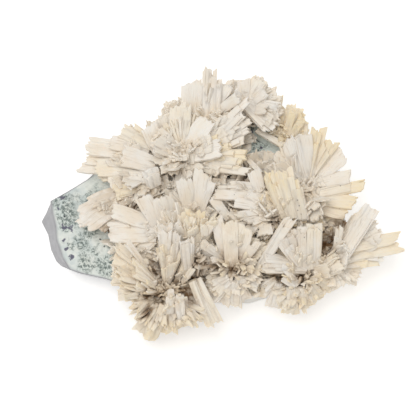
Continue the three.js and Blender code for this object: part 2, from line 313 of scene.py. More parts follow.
def specks(tree, colour, place, **values):
    """The speck group in a material, with its own values."""
    node = add(tree, "ShaderNodeGroup", node_tree=dark_specks)
    tree.links.new(colour, node.inputs["Colour"])
    tree.links.new(place, node.inputs["Place"])
    for label, value in values.items():
        node.inputs[label.replace("_", " ").title()].default_value = value
    return node.outputs[0]


GREEN_WHITE = (0.74, 0.79, 0.76, 1)
DEEPER_GREEN = (0.65, 0.71, 0.70, 1)
MILK = (0.80, 0.83, 0.79, 1)
# Painted light for the open window at the back.
PAINTED_LIGHT_GREEN = (0.92, 1.0, 0.97, 1)
MOSS_SHADOW = (0.40, 0.50, 0.46, 1)
MOSS_THREAD = (0.06, 0.10, 0.09, 1)
SLATE_BLUE = (0.13, 0.13, 0.18, 1)
STONE_SPECK = (0.04, 0.05, 0.06, 1)
WEST_BREAK = ((0.36, 0.36, 0.38, 1), (0.48, 0.48, 0.50, 1))
# The wall's east side: paler stone, lightened further as painted light against the shade there.
EAST_WALL_PALE_AND_PAINTED_LIGHT = (0.82, 0.80, 0.76, 1)
DARK_RIM = (0.25, 0.26, 0.30, 1)


def chalcedony():
    material = bpy.data.materials.new("mossy_chalcedony")
    material.use_nodes = True
    tree = material.node_tree
    surface = tree.nodes["Principled BSDF"]
    place = add(tree, "ShaderNodeTexCoord").outputs["Object"]
    share, gathered, slate, pale = (
        add(tree, "ShaderNodeAttribute", attribute_name=label).outputs["Fac"]
        for label in ("share", "moss", "slate", "pale")
    )
    clouds = ramp(tree, noise_of(tree, place, 46.0, 2.0), 0.40, 0.60)
    tint = mixed(tree, clouds, GREEN_WHITE, DEEPER_GREEN)
    milk = ramp(tree, noise_of(tree, place, 150.0, 3.0, 0.6), 0.42, 0.66)
    tint = mixed(tree, milk, tint, MILK)
    # Painted light: the open window is brightened to the palest green against the shade of the crystals
    # round it.
    tint = mixed(tree, pale, tint, PAINTED_LIGHT_GREEN)
    swirl = add(tree, "ShaderNodeTexNoise", [(place, "Vector")])
    swirl.inputs["Scale"].default_value = 330.0
    bent = add(tree, "ShaderNodeVectorMath", [(swirl.outputs["Color"], 0)], operation="SCALE")
    bent.inputs["Scale"].default_value = 0.0035
    bent = add(tree, "ShaderNodeVectorMath", [(place, 0), (bent.outputs[0], 1)], operation="ADD")
    gathering = math_of(tree, "MULTIPLY", gathered, 0.22)
    area = ramp(tree, math_of(tree, "ADD", noise_of(tree, place, 85.0, 2.0), gathering), 0.53, 0.66)
    dark = None
    for scale, wide in ((330.0, 0.20), (760.0, 0.16)):
        threads = add(tree, "ShaderNodeTexVoronoi", [(bent.outputs[0], "Vector")])
        threads.feature = "DISTANCE_TO_EDGE"
        threads.inputs["Scale"].default_value = scale
        thread = math_of(tree, "SUBTRACT", 1.0, ramp(tree, threads.outputs["Distance"], 0.03, wide))
        dark = thread if dark is None else math_of(tree, "MAXIMUM", dark, thread)
    frayed = ramp(tree, noise_of(tree, place, 620.0, 3.0, 0.7), 0.40, 0.58)
    moss = math_of(tree, "MULTIPLY", math_of(tree, "MULTIPLY", dark, frayed), area)
    tint = mixed(tree, math_of(tree, "MULTIPLY", area, 0.18), tint, MOSS_SHADOW)
    tint = mixed(tree, math_of(tree, "MULTIPLY", moss, 0.85), tint, MOSS_THREAD)
    frayed_edge = math_of(tree, "MULTIPLY", noise_of(tree, place, 330.0, 4.0, 0.6), 2.4)
    blot = math_of(tree, "ADD", slate, frayed_edge)
    tint = mixed(tree, ramp(tree, blot, 1.85, 2.05), tint, SLATE_BLUE)
    tint = specks(tree, tint, place, scale=250.0, radius=0.16, patch_scale=260.0, patch_start=0.58,
                  dark=STONE_SPECK)
    wall = mixed(tree, noise_of(tree, place, 160.0, 3.0), *WEST_BREAK)
    # The east side of the wall is paler stone and painted light that lifts its shade.
    east = add(tree, "ShaderNodeSeparateXYZ", [(place, 0)]).outputs[0]
    wall = mixed(tree, ramp(tree, east, -0.03, 0.0), wall, EAST_WALL_PALE_AND_PAINTED_LIGHT)
    rim = math_of(tree, "MULTIPLY", ramp(tree, share, 0.975, 0.995), 0.5)
    tint = mixed(tree, rim, tint, DARK_RIM)
    tree.links.new(mixed(tree, ramp(tree, share, 1.02, 1.10), tint, wall), surface.inputs["Base Color"])
    waxy = noise_of(tree, place, 500.0, 3.0)
    rough = add(tree, "ShaderNodeMapRange", [(waxy, 0)])
    rough.inputs["To Min"].default_value = 0.35
    rough.inputs["To Max"].default_value = 0.62
    tree.links.new(rough.outputs[0], surface.inputs["Roughness"])
    sunken_moss = math_of(tree, "MULTIPLY", moss, -0.5)
    height = math_of(tree, "ADD", noise_of(tree, place, 700.0, 4.0, 0.6), sunken_moss)
    bumped(tree, surface, height, 0.35)
    return material


plate = build_plate()
plate.data.materials.append(chalcedony())
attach(plate, "root")
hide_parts("matrix_plate")


# ------------------------------------------------------------------------------------------
# The crown spray is the highest: broad white quartz blades thrown out to the right and the
# front, tan upright ones behind. Quartz has taken the place of the first mineral blade by
# blade, so each is a chalky plate, grooved lengthwise, with a torn tip. They share one root.

def dice(seed):
    """Repeatable chance: the same seed always throws the same numbers from low to high."""
    state = seed

    def throw(low, high):
        nonlocal state
        state = (state * 1664525 + 1013904223) % 4294967296
        return low + (high - low) * (state / 4294967296)

    return throw


def wedges(seed, fans):
    """The room that each group of blades fills: its heading and lift in radians, how far it
    spreads to each side and up and down as a slope, its length and its roll."""
    throw = dice(seed)
    rooms = []
    for fan in fans:
        (b0, b1), (l0, l1), (len0, len1), count, roll = fan[:5]
        more = fan[5] if len(fan) > 5 else {}
        step, band = (b1 - b0) / count, l1 - l0
        for i in range(count):
            lift = (l0 + l1) / 2 + band * throw(-0.12, 0.12)
            bearing = b0 + step * (i + 0.5 + throw(-0.05, 0.05))
            half_turn = abs(step) / 2 * math.cos(math.radians(lift)) * throw(0.82, 0.95)
            half_band = band / 2 * throw(0.7, 0.88)
            share = (i + 0.5) / count
            length = (len0 + (len1 - len0) * share) * throw(0.86, 1)
            # The solids draw two slants for each blade's tip here, so these are thrown away to
            # stay in step with them.
            for _ in range(2):
                throw(0, 1)
            rooms.append({
                "bearing": math.radians(bearing), "lift": math.radians(lift),
                "side": math.tan(math.radians(half_turn)), "up": math.tan(math.radians(half_band)),
                "length": length, "roll": roll, **more,
            })
    return rooms


def unit(v):
    return v / np.linalg.norm(v)


# Pits that stay open between the blades, up and towards the front, with brown iron stain in them
# that also stands in as painted shade deep in each pit: x, y, how wide each is, and how far its
# stain and painted shade spread, for a place 30 mm up.
HOLLOWS = [
    (-33, -54, 3, 6), (-39, -53, 1.5, 4), (-20, -51, 2, 5), (-16, -56, 1.5, 4), (-26, -47, 1.5, 4),
    (-15, -43, 1.5, 4), (-35, -38, 3, 6), (-14, -35, 2, 5), (-9, -36, 1, 5), (-3, -36, 1, 5),
    (6, -38, 2, 6), (10, -31, 1, 4), (0, -29, 1, 4), (57, -27, 3, 7), (58, -22, 1.5, 6),
    (66, -13, 2, 4), (42, -44, 1.5, 4), (30, -43, 1.5, 4), (29, -11, 2.5, 5), (8, -2, 1.5, 4),
    (12, 13, 1.5, 4), (0, 15, 1.5, 4), (2, 57, 2, 5), (-51, -4, 2, 4), (-62, -17, 1.5, 4),
    (-40, -63, 1, 4),
]
HOLLOW_HEIGHT = 30.0
HOLLOW_REACH = 45.0          # a spray looks for pits this far from its root
TOWARDS_FRONT = np.array((0, -0.34, 0.94))
BOX_MARGIN = 0.05            # blades are held this far inside the box of the solids


class Crystals:
    """Collects the blades of one spray and joins them in one mesh."""

    def __init__(self, root, core):
        self.verts, self.faces, self.grain, self.tint = [], [], [], []
        self.count = 0
        self.root = root
        self.core = core
        self.hollows = [
            (np.array((x, y, HOLLOW_HEIGHT)), wide) for x, y, wide, _ in HOLLOWS
            if math.hypot(x - root[0], y - root[1]) < HOLLOW_REACH
        ]

    def in_hollow(self, places):
        """Whether a blade would stand across one of the open pits."""
        for mouth, wide in self.hollows:
            arms = places - mouth
            up = arms @ TOWARDS_FRONT
            off = np.linalg.norm(arms - up[:, None] * TOWARDS_FRONT, axis=1)
            if np.any((off < wide) & (up > -4)):
                return True
        return False

    def blade(self, chance, root, heading, across, start, length, width, thick, rows, columns,
              ragged, slant, flare, tone, iron_and_shade, honey,
              bend=0.0, taper=0.15, groove=0.12, shy=True):
        """One closed blade. root, heading and across place it; the rest is in millimetres or
        in parts of its own size. width and thick are full sizes. A shy blade leaves the open
        pits free."""
        e1 = unit(heading)
        e2 = unit(across - e1 * np.dot(across, e1))
        e3 = np.cross(e1, e2)
        x = np.linspace(-1, 1, columns + 1)
        x[1:-1] += chance.uniform(-0.4, 0.4, columns - 1) * (1.1 / columns)
        t = np.linspace(0, 1, rows + 1) ** 0.9
        t[1:-1] += chance.uniform(-0.25, 0.25, rows - 1) / rows
        wave = chance.uniform(2.0, 4.5) * x + chance.uniform(0, 6)
        notch = ragged * (0.6 * chance.random(columns + 1) ** 1.6 + 0.4 * np.sin(wave) ** 2)
        end = length * (1 - slant * x * 0.5 - notch)
        u = start + (end[None, :] - start) * t[:, None]
        grown = np.clip((u - start) / (0.75 * length), 0, 1)
        half = width / 2 * (flare + (1 - flare) * grown) * (1 - taper * t[:, None] ** 3)
        wobble = 1 + chance.uniform(-0.05, 0.05, (rows + 1, columns + 1))
        v = half * x[None, :] * wobble
        ridge = chance.uniform(-1, 1, columns + 1)
        rough = chance.uniform(-1, 1, (rows + 1, columns + 1))
        curve = bend * length * (u / length) ** 2
        torn = 1 - 0.45 * t[:, None] ** 5
        body = thick / 2 * (0.7 + 0.3 * grown) * torn * (1 - 0.25 * x[None, :] ** 4)
        upper = body + groove * (ridge * 0.8 + rough * 0.35) + curve
        ridge = chance.uniform(-1, 1, columns + 1)
        lower = -body + groove * (ridge * 0.8 + rough[::-1] * 0.3) + curve
        lower = np.minimum(lower, upper - 0.12)
        points = []
        for w in (upper, lower):
            spot = (root + e1 * u[..., None] + e2 * v[..., None] + e3 * w[..., None])
            points.append(spot.reshape(-1, 3))
        if shy and self.in_hollow(points[0]):
            return
        n = (rows + 1) * (columns + 1)
        grid = np.arange(n).reshape(rows + 1, columns + 1)
        a, b = grid[:-1, :-1].ravel(), grid[1:, :-1].ravel()
        c, d = grid[1:, 1:].ravel(), grid[:-1, 1:].ravel()
        quads = [np.stack((a, b, c, d), 1), np.stack((a, d, c, b), 1) + n]
        rim = np.concatenate((grid[0, :], grid[1:, -1], grid[-1, -2::-1], grid[-2:0:-1, 0]))
        following = np.roll(rim, -1)
        quads.append(np.stack((rim, following, following + n, rim + n), 1))
        self.verts.append(np.concatenate(points))
        self.faces.append(np.concatenate(quads) + self.count)
        self.count += 2 * n
        along = np.concatenate((u.ravel(), u.ravel()))
        side = np.concatenate((v.ravel(), v.ravel()))
        deep = np.concatenate((upper.ravel(), lower.ravel()))
        own = chance.uniform(0, 400)
        self.grain.append(np.stack((along, side + own, deep + own * 0.7), 1))
        # Brown iron stain that grows towards the root, which also stands in as painted shade deep in
        # the spray.
        depth = np.linalg.norm(self.verts[-1] - self.root, axis=1) / self.core
        stain_and_shade = np.clip(iron_and_shade * np.maximum(1.3 - depth, 0.2 * chance.random()), 0, 1)
        gold = np.clip(honey * (0.3 + 0.8 * (along / length) ** 2), 0, 1)
        self.tint.append(np.stack((np.full_like(along, tone), stain_and_shade, gold, np.ones_like(along)), 1))

    def mesh(self, name):
        verts = np.concatenate(self.verts)
        tint = np.concatenate(self.tint)
        # Brown iron stain and painted shade down in each open pit, along the line from the front above.
        for x, y, _, spread in HOLLOWS:
            arms = verts - np.array((x, y, HOLLOW_HEIGHT))
            up = arms @ TOWARDS_FRONT
            off = np.linalg.norm(arms - up[:, None] * TOWARDS_FRONT, axis=1) / spread
            darkening = 1.5 * np.exp(-(off**2)) * np.clip((6 - up) / 12, 0, 1)
            tint[:, 1] = np.maximum(tint[:, 1], darkening)
        verts += SHIFT
        low, high = (np.array(corner) * 1000 for corner in cad_box)
        verts = np.clip(verts, low + BOX_MARGIN, high - BOX_MARGIN) / 1000
        faces = np.concatenate(self.faces)
        mesh = bpy.data.meshes.new(name)
        mesh.vertices.add(len(verts))
        mesh.vertices.foreach_set("co", verts.ravel())
        mesh.loops.add(faces.size)
        mesh.loops.foreach_set("vertex_index", faces.ravel())
        mesh.polygons.add(len(faces))
        mesh.polygons.foreach_set("loop_start", np.arange(0, faces.size, 4))
        mesh.update(calc_edges=True)
        grain = mesh.attributes.new("grain", "FLOAT_VECTOR", "POINT")
        grain.data.foreach_set("vector", np.concatenate(self.grain).ravel())
        colour = mesh.attributes.new("tint", "FLOAT_COLOR", "POINT")
        colour.data.foreach_set("color", np.clip(tint, 0, 1).ravel())
        mesh.validate()
        mesh.shade_smooth()
        mesh.set_sharp_from_angle(angle=math.radians(32))
        return mesh


def directions(bearing, lift):
    """The heading at a bearing and lift in radians, its level side and its upper side."""
    d = np.array((
        math.cos(lift) * math.cos(bearing), math.cos(lift) * math.sin(bearing), math.sin(lift),
    ))
    s = np.array((-math.sin(bearing), math.cos(bearing), 0.0))
    return d, s, np.cross(d, s)


def grow_pack(crystals, chance, foot, d, across, reach, width, thick, open_foot, iron_and_shade, honey,
              step=0.25):
    """Laths grown side by side into one plate, which widens from its foot and has stepped
    ends. open_foot is how much of its width it has at the foot."""
    face = np.cross(d, across)
    tone = chance.uniform(0, 1)
    gold = honey * chance.uniform(0.6, 1.2)
    place, short = -width / 2, chance.uniform(0, step)
    while place < width / 2 - 0.5:
        lath = min(chance.uniform(1.8, 4.2), width / 2 - place + 0.5)
        middle = place + lath / 2
        short = min(max(short + chance.uniform(-0.6, 0.6) * step, 0.0), step)
        shift = across * middle * open_foot + face * chance.uniform(-0.16, 0.16) * thick
        crystals.blade(
            chance, foot + shift, d + across * middle * (1 - open_foot) / reach,
            across + face * chance.uniform(-0.12, 0.12), start=0.1 * reach,
            length=reach * (1.07 - short), width=lath * 1.2, thick=thick * chance.uniform(0.8, 1.25),
            rows=5, columns=3, ragged=0.07, slant=chance.uniform(-0.1, 0.1),
            bend=chance.uniform(-0.01, 0.02), taper=chance.uniform(0, 0.2),
            flare=min(1.0, open_foot + 0.1), tone=tone, iron_and_shade=iron_and_shade, honey=gold, groove=0.15,
        )
        place += lath


PLATE_LAYERS = 3             # plates that lie one above the other in a wedge
STEEPEST_INNER = math.radians(66)    # no extra plate further in stands steeper than this


def fill_with_plates(crystals, chance, root, room, iron_and_shade, honey):
    """Plates as wide as the wedge, each steeper and shorter than the one below."""
    half_band = math.atan(room["up"])
    for k in range(PLATE_LAYERS + room.get("inner", 1)):
        lift = room["lift"] - half_band + (k + 0.5) * 2 * half_band / PLATE_LAYERS
        lift += math.radians(chance.uniform(-3, 3))
        if k >= PLATE_LAYERS and lift > STEEPEST_INNER:
            break
        length = room["length"] * room.get("short", 1.03) * (1 - 0.09 * k)
        spread = 2.4 * room["side"] * length
        lanes = max(1, int(round(spread / room.get("wide", 9.0))))
        for lane in range(lanes):
            slide = (lane + 0.5) / lanes - 0.5 + chance.uniform(-0.06, 0.06)
            d, s, n = directions(room["bearing"] + slide * spread / length, lift)
            tilt = math.radians(room["roll"] * 0.35 + chance.uniform(-18, 18))
            grow_pack(
                crystals, chance, root, d, s * math.cos(tilt) + n * math.sin(tilt),
                reach=length * (1 - chance.random() ** 2 * room.get("step", 0.18)),
                width=spread / lanes * chance.uniform(0.9, 1.15),
                thick=room.get("thick", 2.4) * chance.uniform(0.8, 1.2), open_foot=0.12,
                iron_and_shade=iron_and_shade, honey=honey,
            )


def fill_with_laths(crystals, chance, root, room, iron_and_shade, honey):
    """Thin plates on edge, packed side by side like the leaves of a book."""
    thick = room.get("thick", 1.7)
    length = room["length"] * room.get("short", 1.0)
    half_side, half_up = room["side"] * 1.15 * length, room["up"] * length
    d, s, n = directions(room["bearing"], room["lift"])
    roll = math.radians(room["roll"] + chance.uniform(-10, 10))
    cr, sr = abs(math.cos(roll)), abs(math.sin(roll))
    flat = -s * math.sin(roll) + n * math.cos(roll)
    along = s * math.cos(roll) + n * math.sin(roll)
    half_stack = half_side * sr + half_up * cr
    layers = max(2, int(round(2 * half_stack / (thick * 1.05))))
    for k in range(layers):
        offset = half_stack * (2 * (k + 0.5) / layers - 1)
        chord = min(
            (half_side - min(abs(offset) * sr, half_side)) / max(cr, 1e-3) + 1.2,
            (half_up - min(abs(offset) * cr, half_up)) / max(sr, 1e-3) + 1.2,
            half_side + half_up,
        )
        lanes = max(1, int(round(2 * chord / room.get("wide", 5.0))))
        for lane in range(lanes):
            if chance.random() < room.get("gaps", 0.0):
                continue
            slide = chord * (2 * (lane + 0.5) / lanes - 1) + chance.uniform(-0.4, 0.4)
            stray = chance.uniform(-1, 1, 3) * room.get("stray", 0.0)
            tilt = roll + math.radians(chance.uniform(-12, 12))
            reach = length * (1.04 - chance.random() ** 1.4 * room.get("step", 0.3))
            crystals.blade(
                chance, root, d + (flat * offset + along * slide) / length + stray,
                s * math.cos(tilt) + n * math.sin(tilt), start=0.12 * reach, length=reach,
                width=2 * chord / lanes * chance.uniform(1.1, 1.5),
                thick=thick * chance.uniform(0.8, 1.6), rows=4, columns=4,
                ragged=room.get("ragged", 0.12), slant=chance.uniform(-0.2, 0.2),
                bend=chance.uniform(-0.02, 0.02), taper=chance.uniform(0.0, 0.3), flare=0.3,
                tone=chance.uniform(0, 1), iron_and_shade=iron_and_shade, honey=honey * chance.uniform(0.5, 1.2),
            )


def fill_with_bundle(crystals, chance, root, room, iron_and_shade, honey):
    """One thick blade of laths that run side by side in a few layers."""
    thick = room.get("thick", 2.6)
    d, s, n = directions(room["bearing"], room["lift"])
    tilt = math.radians(room["roll"] * 0.4 + chance.uniform(-10, 10))
    across = s * math.cos(tilt) + n * math.sin(tilt)
    for layer in range(room.get("layers", 3)):
        grow_pack(
            crystals, chance, root + np.cross(d, across) * (layer - 1) * thick * 0.75, d, across,
            reach=room["length"] * room.get("short", 1.0) * (1.02 - 0.12 * layer),
            width=room["bundle"], thick=thick, open_foot=0.6, iron_and_shade=iron_and_shade, honey=honey, step=0.2,
        )


def grow_great(crystals, chance, blades, iron_and_shade):
    """The largest blades of a spray. A petal is a pack of laths that widens from its foot, a
    slab is a pack about as wide all along, a plate is one smooth broad blade and a lath is one
    long narrow blade."""
    for kind, foot, tip, width, thick, honey in blades:
        foot, tip = np.array(foot, dtype=float), np.array(tip, dtype=float)
        reach = np.linalg.norm(tip - foot)
        d = (tip - foot) / reach
        s = unit(np.cross((0.0, 0.0, 1.0), d))
        tilt = math.radians(chance.uniform(-1, 1) * (8 if kind == "plate" else 16))
        across = s * math.cos(tilt) + np.cross(d, s) * math.sin(tilt)
        face = np.cross(d, across)
        foot = foot - d * 0.2 * reach
        reach *= 1.2
        if kind in ("lath", "plate"):
            crystals.blade(
                chance, foot, d, across, start=0.0, length=reach, width=width, thick=thick,
                rows=7, columns=4 + int(width * 0.7), ragged=0.06 + 0.004 * width,
                slant=chance.uniform(-0.18, 0.18), bend=chance.uniform(-0.02, 0.03),
                taper=chance.uniform(0.0, 0.2), flare=0.75, tone=0.8, iron_and_shade=iron_and_shade, honey=honey,
                groove=0.12 + 0.012 * width, shy=False,
            )
            continue
        for layer in range(2):
            grow_pack(
                crystals, chance, foot + face * layer * 0.5 * thick, d, across,
                reach=reach * (1 - 0.12 * layer), width=width * (1.1 - 0.2 * layer), thick=thick,
                open_foot=0.4 if kind == "petal" else 0.8, iron_and_shade=iron_and_shade, honey=honey,
                step=0.10 + 0.12 * layer,
            )


# Where no crystals grew on the plate, in millimetres: its west end and a window at the back.
BARE_WEST = [
    (-110, 10), (-96, 20), (-76, 16), (-57, 17), (-53, 11), (-57, -16), (-60, -18), (-60, -60),
    (-110, -60),
]
BARE_WINDOW = [(14, 50), (22, 55), (30, 48), (38, 40), (37, 29), (25, 23), (17, 33)]


def inside(outline, x, y):
    crossings = 0
    for (x0, y0), (x1, y1) in zip(outline, outline[1:] + outline[:1]):
        if (y0 > y) != (y1 > y) and x < x0 + (x1 - x0) * (y - y0) / (y1 - y0):
            crossings += 1
    return crossings % 2 == 1


def grow_scales(crystals, chance, root, room, iron_and_shade, honey):
    """Short overlapping plates all over a wedge, rooted at different depths, like shingles."""
    if "smooth" in room:
        return
    length = room["length"]
    half_turn, half_band = math.atan(room["side"]), math.atan(room["up"])
    for _ in range(int(length**2 * room["side"] / room.get("scale_room", 22.0)) + 2):
        share = chance.uniform(0.25, 0.8)
        lift = room["lift"] + half_band * chance.uniform(-0.5, 1.7)
        lift = min(lift, math.radians(84))
        bearing = room["bearing"] + half_turn * chance.uniform(-1.2, 1.2) / max(math.cos(lift), 0.3)
        d, s, n = directions(bearing, lift)
        heading = d + s * chance.uniform(-0.35, 0.35) + n * chance.uniform(-0.2, 0.4)
        tilt = math.radians(room["roll"] * chance.uniform(0, 0.8) + chance.uniform(-35, 35))
        width = chance.uniform(1.6, room.get("scale_width", 9.0))
        crystals.blade(
            chance, root + d * share * length, heading, s * math.cos(tilt) + n * math.sin(tilt),
            start=-1.5, length=length * (1 - share) * chance.uniform(0.55, 1.0) + 2.5, width=width,
            thick=chance.uniform(1.0, 2.2), rows=3, columns=2 + int(width / 1.4), ragged=0.2,
            slant=chance.uniform(-0.3, 0.3), taper=chance.uniform(0, 0.25), flare=0.75,
            tone=chance.uniform(0, 1), iron_and_shade=iron_and_shade, honey=honey * chance.uniform(0.4, 1.2), groove=0.16,
        )


BED_ROOM = 11                # square millimetres of plate for each blade that stands on it


def grow_bed(crystals, chance, root, radius, iron_and_shade, honey):
    """Blades that stand on the plate round a root and close the room under the rest."""
    for _ in range(int(math.pi * radius**2 / BED_ROOM)):
        turn = chance.uniform(0, 2 * math.pi)
        out = radius * math.sqrt(chance.uniform(0.05, 1))
        x, y = root[0] + out * math.cos(turn), root[1] + out * math.sin(turn)
        if plate_share(x, y) > 0.95 or inside(BARE_WEST, x, y) or inside(BARE_WINDOW, x, y):
            continue
        lift = math.radians(74 - 34 * out / radius + chance.uniform(-14, 14))
        d, s, n = directions(turn + chance.uniform(-0.7, 0.7), lift)
        tilt = chance.uniform(-0.8, 0.8)
        foot = np.array((x, y, plate_top(x, y) - 1.5))
        width = chance.uniform(2.4, 9.0)
        crystals.blade(
            chance, foot, d, s * math.cos(tilt) + n * math.sin(tilt),
            start=0.0, length=chance.uniform(8, 17), width=width,
            thick=chance.uniform(1.2, 2.4), rows=3, columns=2 + int(width / 1.6), ragged=0.2,
            slant=chance.uniform(-0.2, 0.2), taper=chance.uniform(0, 0.3), flare=0.6,
            tone=chance.uniform(0, 1), iron_and_shade=iron_and_shade * 0.7, honey=honey, shy=False,
        )


HEART_BLADES = 70
HEART_REACH = 10.0           # millimetres from the root


def grow_heart(crystals, chance, root, iron_and_shade, honey):
    """Short blades every way out of the root, which close the middle of a spray."""
    for _ in range(HEART_BLADES):
        d, s, n = directions(chance.uniform(0, 2 * math.pi), math.radians(chance.uniform(-15, 80)))
        tilt = chance.uniform(-1.5, 1.5)
        crystals.blade(
            chance, root, d, s * math.cos(tilt) + n * math.sin(tilt), start=0.0,
            length=HEART_REACH * chance.uniform(0.7, 1.1), width=chance.uniform(3, 6),
            thick=chance.uniform(1.4, 2.6), rows=4, columns=3, ragged=0.25,
            slant=chance.uniform(-0.3, 0.3), flare=0.6, tone=chance.uniform(0, 1), iron_and_shade=iron_and_shade,
            honey=honey, shy=False,
        )


def grow_chips(crystals, chance, root, rooms, count, iron_and_shade, honey):
    """Small torn plates that crowd on the blades round the middle of a spray."""
    for _ in range(count):
        room = rooms[int(chance.integers(len(rooms)))]
        lift = min(room["lift"] + math.atan(room["up"]) * chance.uniform(0.3, 1.1), 1.35)
        d = directions(room["bearing"] + chance.uniform(-0.25, 0.25), lift)[0]
        foot = root + d * room["length"] * chance.uniform(0.3, 0.6)
        heading = unit(d + chance.uniform(-0.9, 0.9, 3))
        crystals.blade(
            chance, foot, heading, chance.uniform(-1, 1, 3), start=0.0,
            length=chance.uniform(3.0, 6.0), width=chance.uniform(1.6, 3.8),
            thick=chance.uniform(0.9, 1.7), rows=3, columns=3, ragged=0.3,
            slant=chance.uniform(-0.4, 0.4), flare=0.8, tone=chance.uniform(0.3, 1),
            iron_and_shade=iron_and_shade, honey=honey,
        )


def grow(name, seed, centre, fans, iron_and_shade=0.3, honey=0.15, bed=20.0, chips=20, core=9.0,
         great=()):
    """One spray: all its blades on one root, as one piece in place of the plain solid."""
    chance = np.random.default_rng(seed)
    root = np.array(centre, dtype=float)
    crystals = Crystals(root, core)
    rooms = wedges(seed, fans)
    for room in rooms:
        leaves = room.get("leaves", room["roll"] >= 65)
        fill = fill_with_laths if leaves else fill_with_plates
        if "bundle" in room:
            fill = fill_with_bundle
        for part in (fill, grow_scales):
            part(crystals, chance, root, room, iron_and_shade, room.get("honey", honey))
    grow_great(crystals, chance, great, iron_and_shade)
    grow_heart(crystals, chance, root, iron_and_shade, honey)
    grow_bed(crystals, chance, root, bed, iron_and_shade, honey)
    grow_chips(crystals, chance, root, rooms, chips, iron_and_shade, honey)
    piece = bpy.data.objects.new(name + "_blades", crystals.mesh(name + "_blades"))
    bpy.context.collection.objects.link(piece)
    piece.data.materials.append(chalky_quartz)
    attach(piece, "root")
    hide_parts(name)


CHALK = ((0.93, 0.87, 0.79, 1), (0.95, 0.91, 0.855, 1))
CREAM_CLOUD = (0.92, 0.84, 0.735, 1)
HONEY = ((0.95, 0.79, 0.53, 1), (0.97, 0.865, 0.69, 1))
# Brown iron stain, which near the roots and in the open pits also stands in as painted shade.
IRON_STAIN_AND_SHADE = ((0.58, 0.42, 0.24, 1), (0.20, 0.115, 0.055, 1))
GROOVE_LINE = (0.50, 0.38, 0.25, 1)
QUARTZ_SPECK = (0.16, 0.12, 0.09, 1)
# Painted shade in the crevices: a tan on clean quartz, dark brown where it is also iron-stained.
CREVICE_SHADE_AND_STAIN = ((0.66, 0.57, 0.46, 1), (0.14, 0.075, 0.03, 1))


def quartz_material():
    material = bpy.data.materials.new("chalky_quartz")
    material.use_nodes = True
    tree = material.node_tree
    surface = tree.nodes["Principled BSDF"]
    place = add(tree, "ShaderNodeTexCoord").outputs["Object"]
    grain = add(tree, "ShaderNodeAttribute", attribute_name="grain").outputs["Vector"]
    tint = add(tree, "ShaderNodeAttribute", attribute_name="tint").outputs["Color"]
    parts = add(tree, "ShaderNodeSeparateColor", [(tint, 0)])
    tone, iron_and_shade, honey = parts.outputs
    stretch = add(tree, "ShaderNodeVectorMath", [(grain, 0)], operation="MULTIPLY")
    stretch.inputs[1].default_value = (0.10, 1.6, 1.6)
    streak = noise_of(tree, stretch.outputs[0], 1.0, 3.0, 0.6)
    powder = noise_of(tree, place, 1500.0, 3.0, 0.7)
    cloud = noise_of(tree, place, 95.0, 2.0)
    white = mixed(tree, tone, *CHALK)
    white = mixed(tree, ramp(tree, cloud, 0.4, 0.68), white, CREAM_CLOUD)
    gold = mixed(tree, ramp(tree, streak, 0.3, 0.7), *HONEY)
    colour = mixed(tree, honey, white, gold)
    cloudy = ramp(tree, noise_of(tree, place, 260.0, 3.0, 0.6), 0.25, 0.6)
    # The brown of iron stain and of painted shade, from the blades' stain channel.
    stain_and_shade_mask = math_of(tree, "MULTIPLY", iron_and_shade, cloudy)
    stain_and_shade = mixed(tree, iron_and_shade, *IRON_STAIN_AND_SHADE)
    colour = mixed(tree, stain_and_shade_mask, colour, stain_and_shade)
    darkening = math_of(tree, "ADD", 0.28, math_of(tree, "MULTIPLY", iron_and_shade, 0.5))
    line = math_of(tree, "MULTIPLY", ramp(tree, streak, 0.56, 0.68), darkening)
    colour = mixed(tree, line, colour, GROOVE_LINE)
    colour = specks(tree, colour, place, scale=210.0, radius=0.065, patch_scale=170.0,
                    patch_start=0.52, dark=QUARTZ_SPECK)
    # Painted shade: crevices that ambient occlusion finds are darkened towards a tan, and towards dark
    # brown where the blades also carry iron stain.
    occlusion = add(tree, "ShaderNodeAmbientOcclusion", samples=6)
    occlusion.inputs["Distance"].default_value = 0.005
    deep = ramp(tree, math_of(tree, "SUBTRACT", 1.0, occlusion.outputs["AO"]), 0.76, 1.0)
    stained_and_shaded = ramp(tree, iron_and_shade, 0.0, 0.35)
    crevice_shade_colour = mixed(tree, stained_and_shaded, *CREVICE_SHADE_AND_STAIN)
    crevice_shade_strength = math_of(tree, "ADD", 0.30, math_of(tree, "MULTIPLY", stained_and_shaded, 0.6))
    colour = mixed(tree, math_of(tree, "MULTIPLY", deep, crevice_shade_strength), colour, crevice_shade_colour)
    tree.links.new(colour, surface.inputs["Base Color"])
    surface.inputs["Subsurface Weight"].default_value = 0.3
    surface.inputs["Subsurface Radius"].default_value = (1.0, 0.93, 0.86)
    surface.inputs["Subsurface Scale"].default_value = 0.0015
    surface.inputs["Roughness"].default_value = 0.82
    surface.inputs["Specular IOR Level"].default_value = 0.25
    height = math_of(tree, "ADD", streak, math_of(tree, "MULTIPLY", powder, 0.35))
    bumped(tree, surface, height, 0.4)
    return material


chalky_quartz = quartz_material()

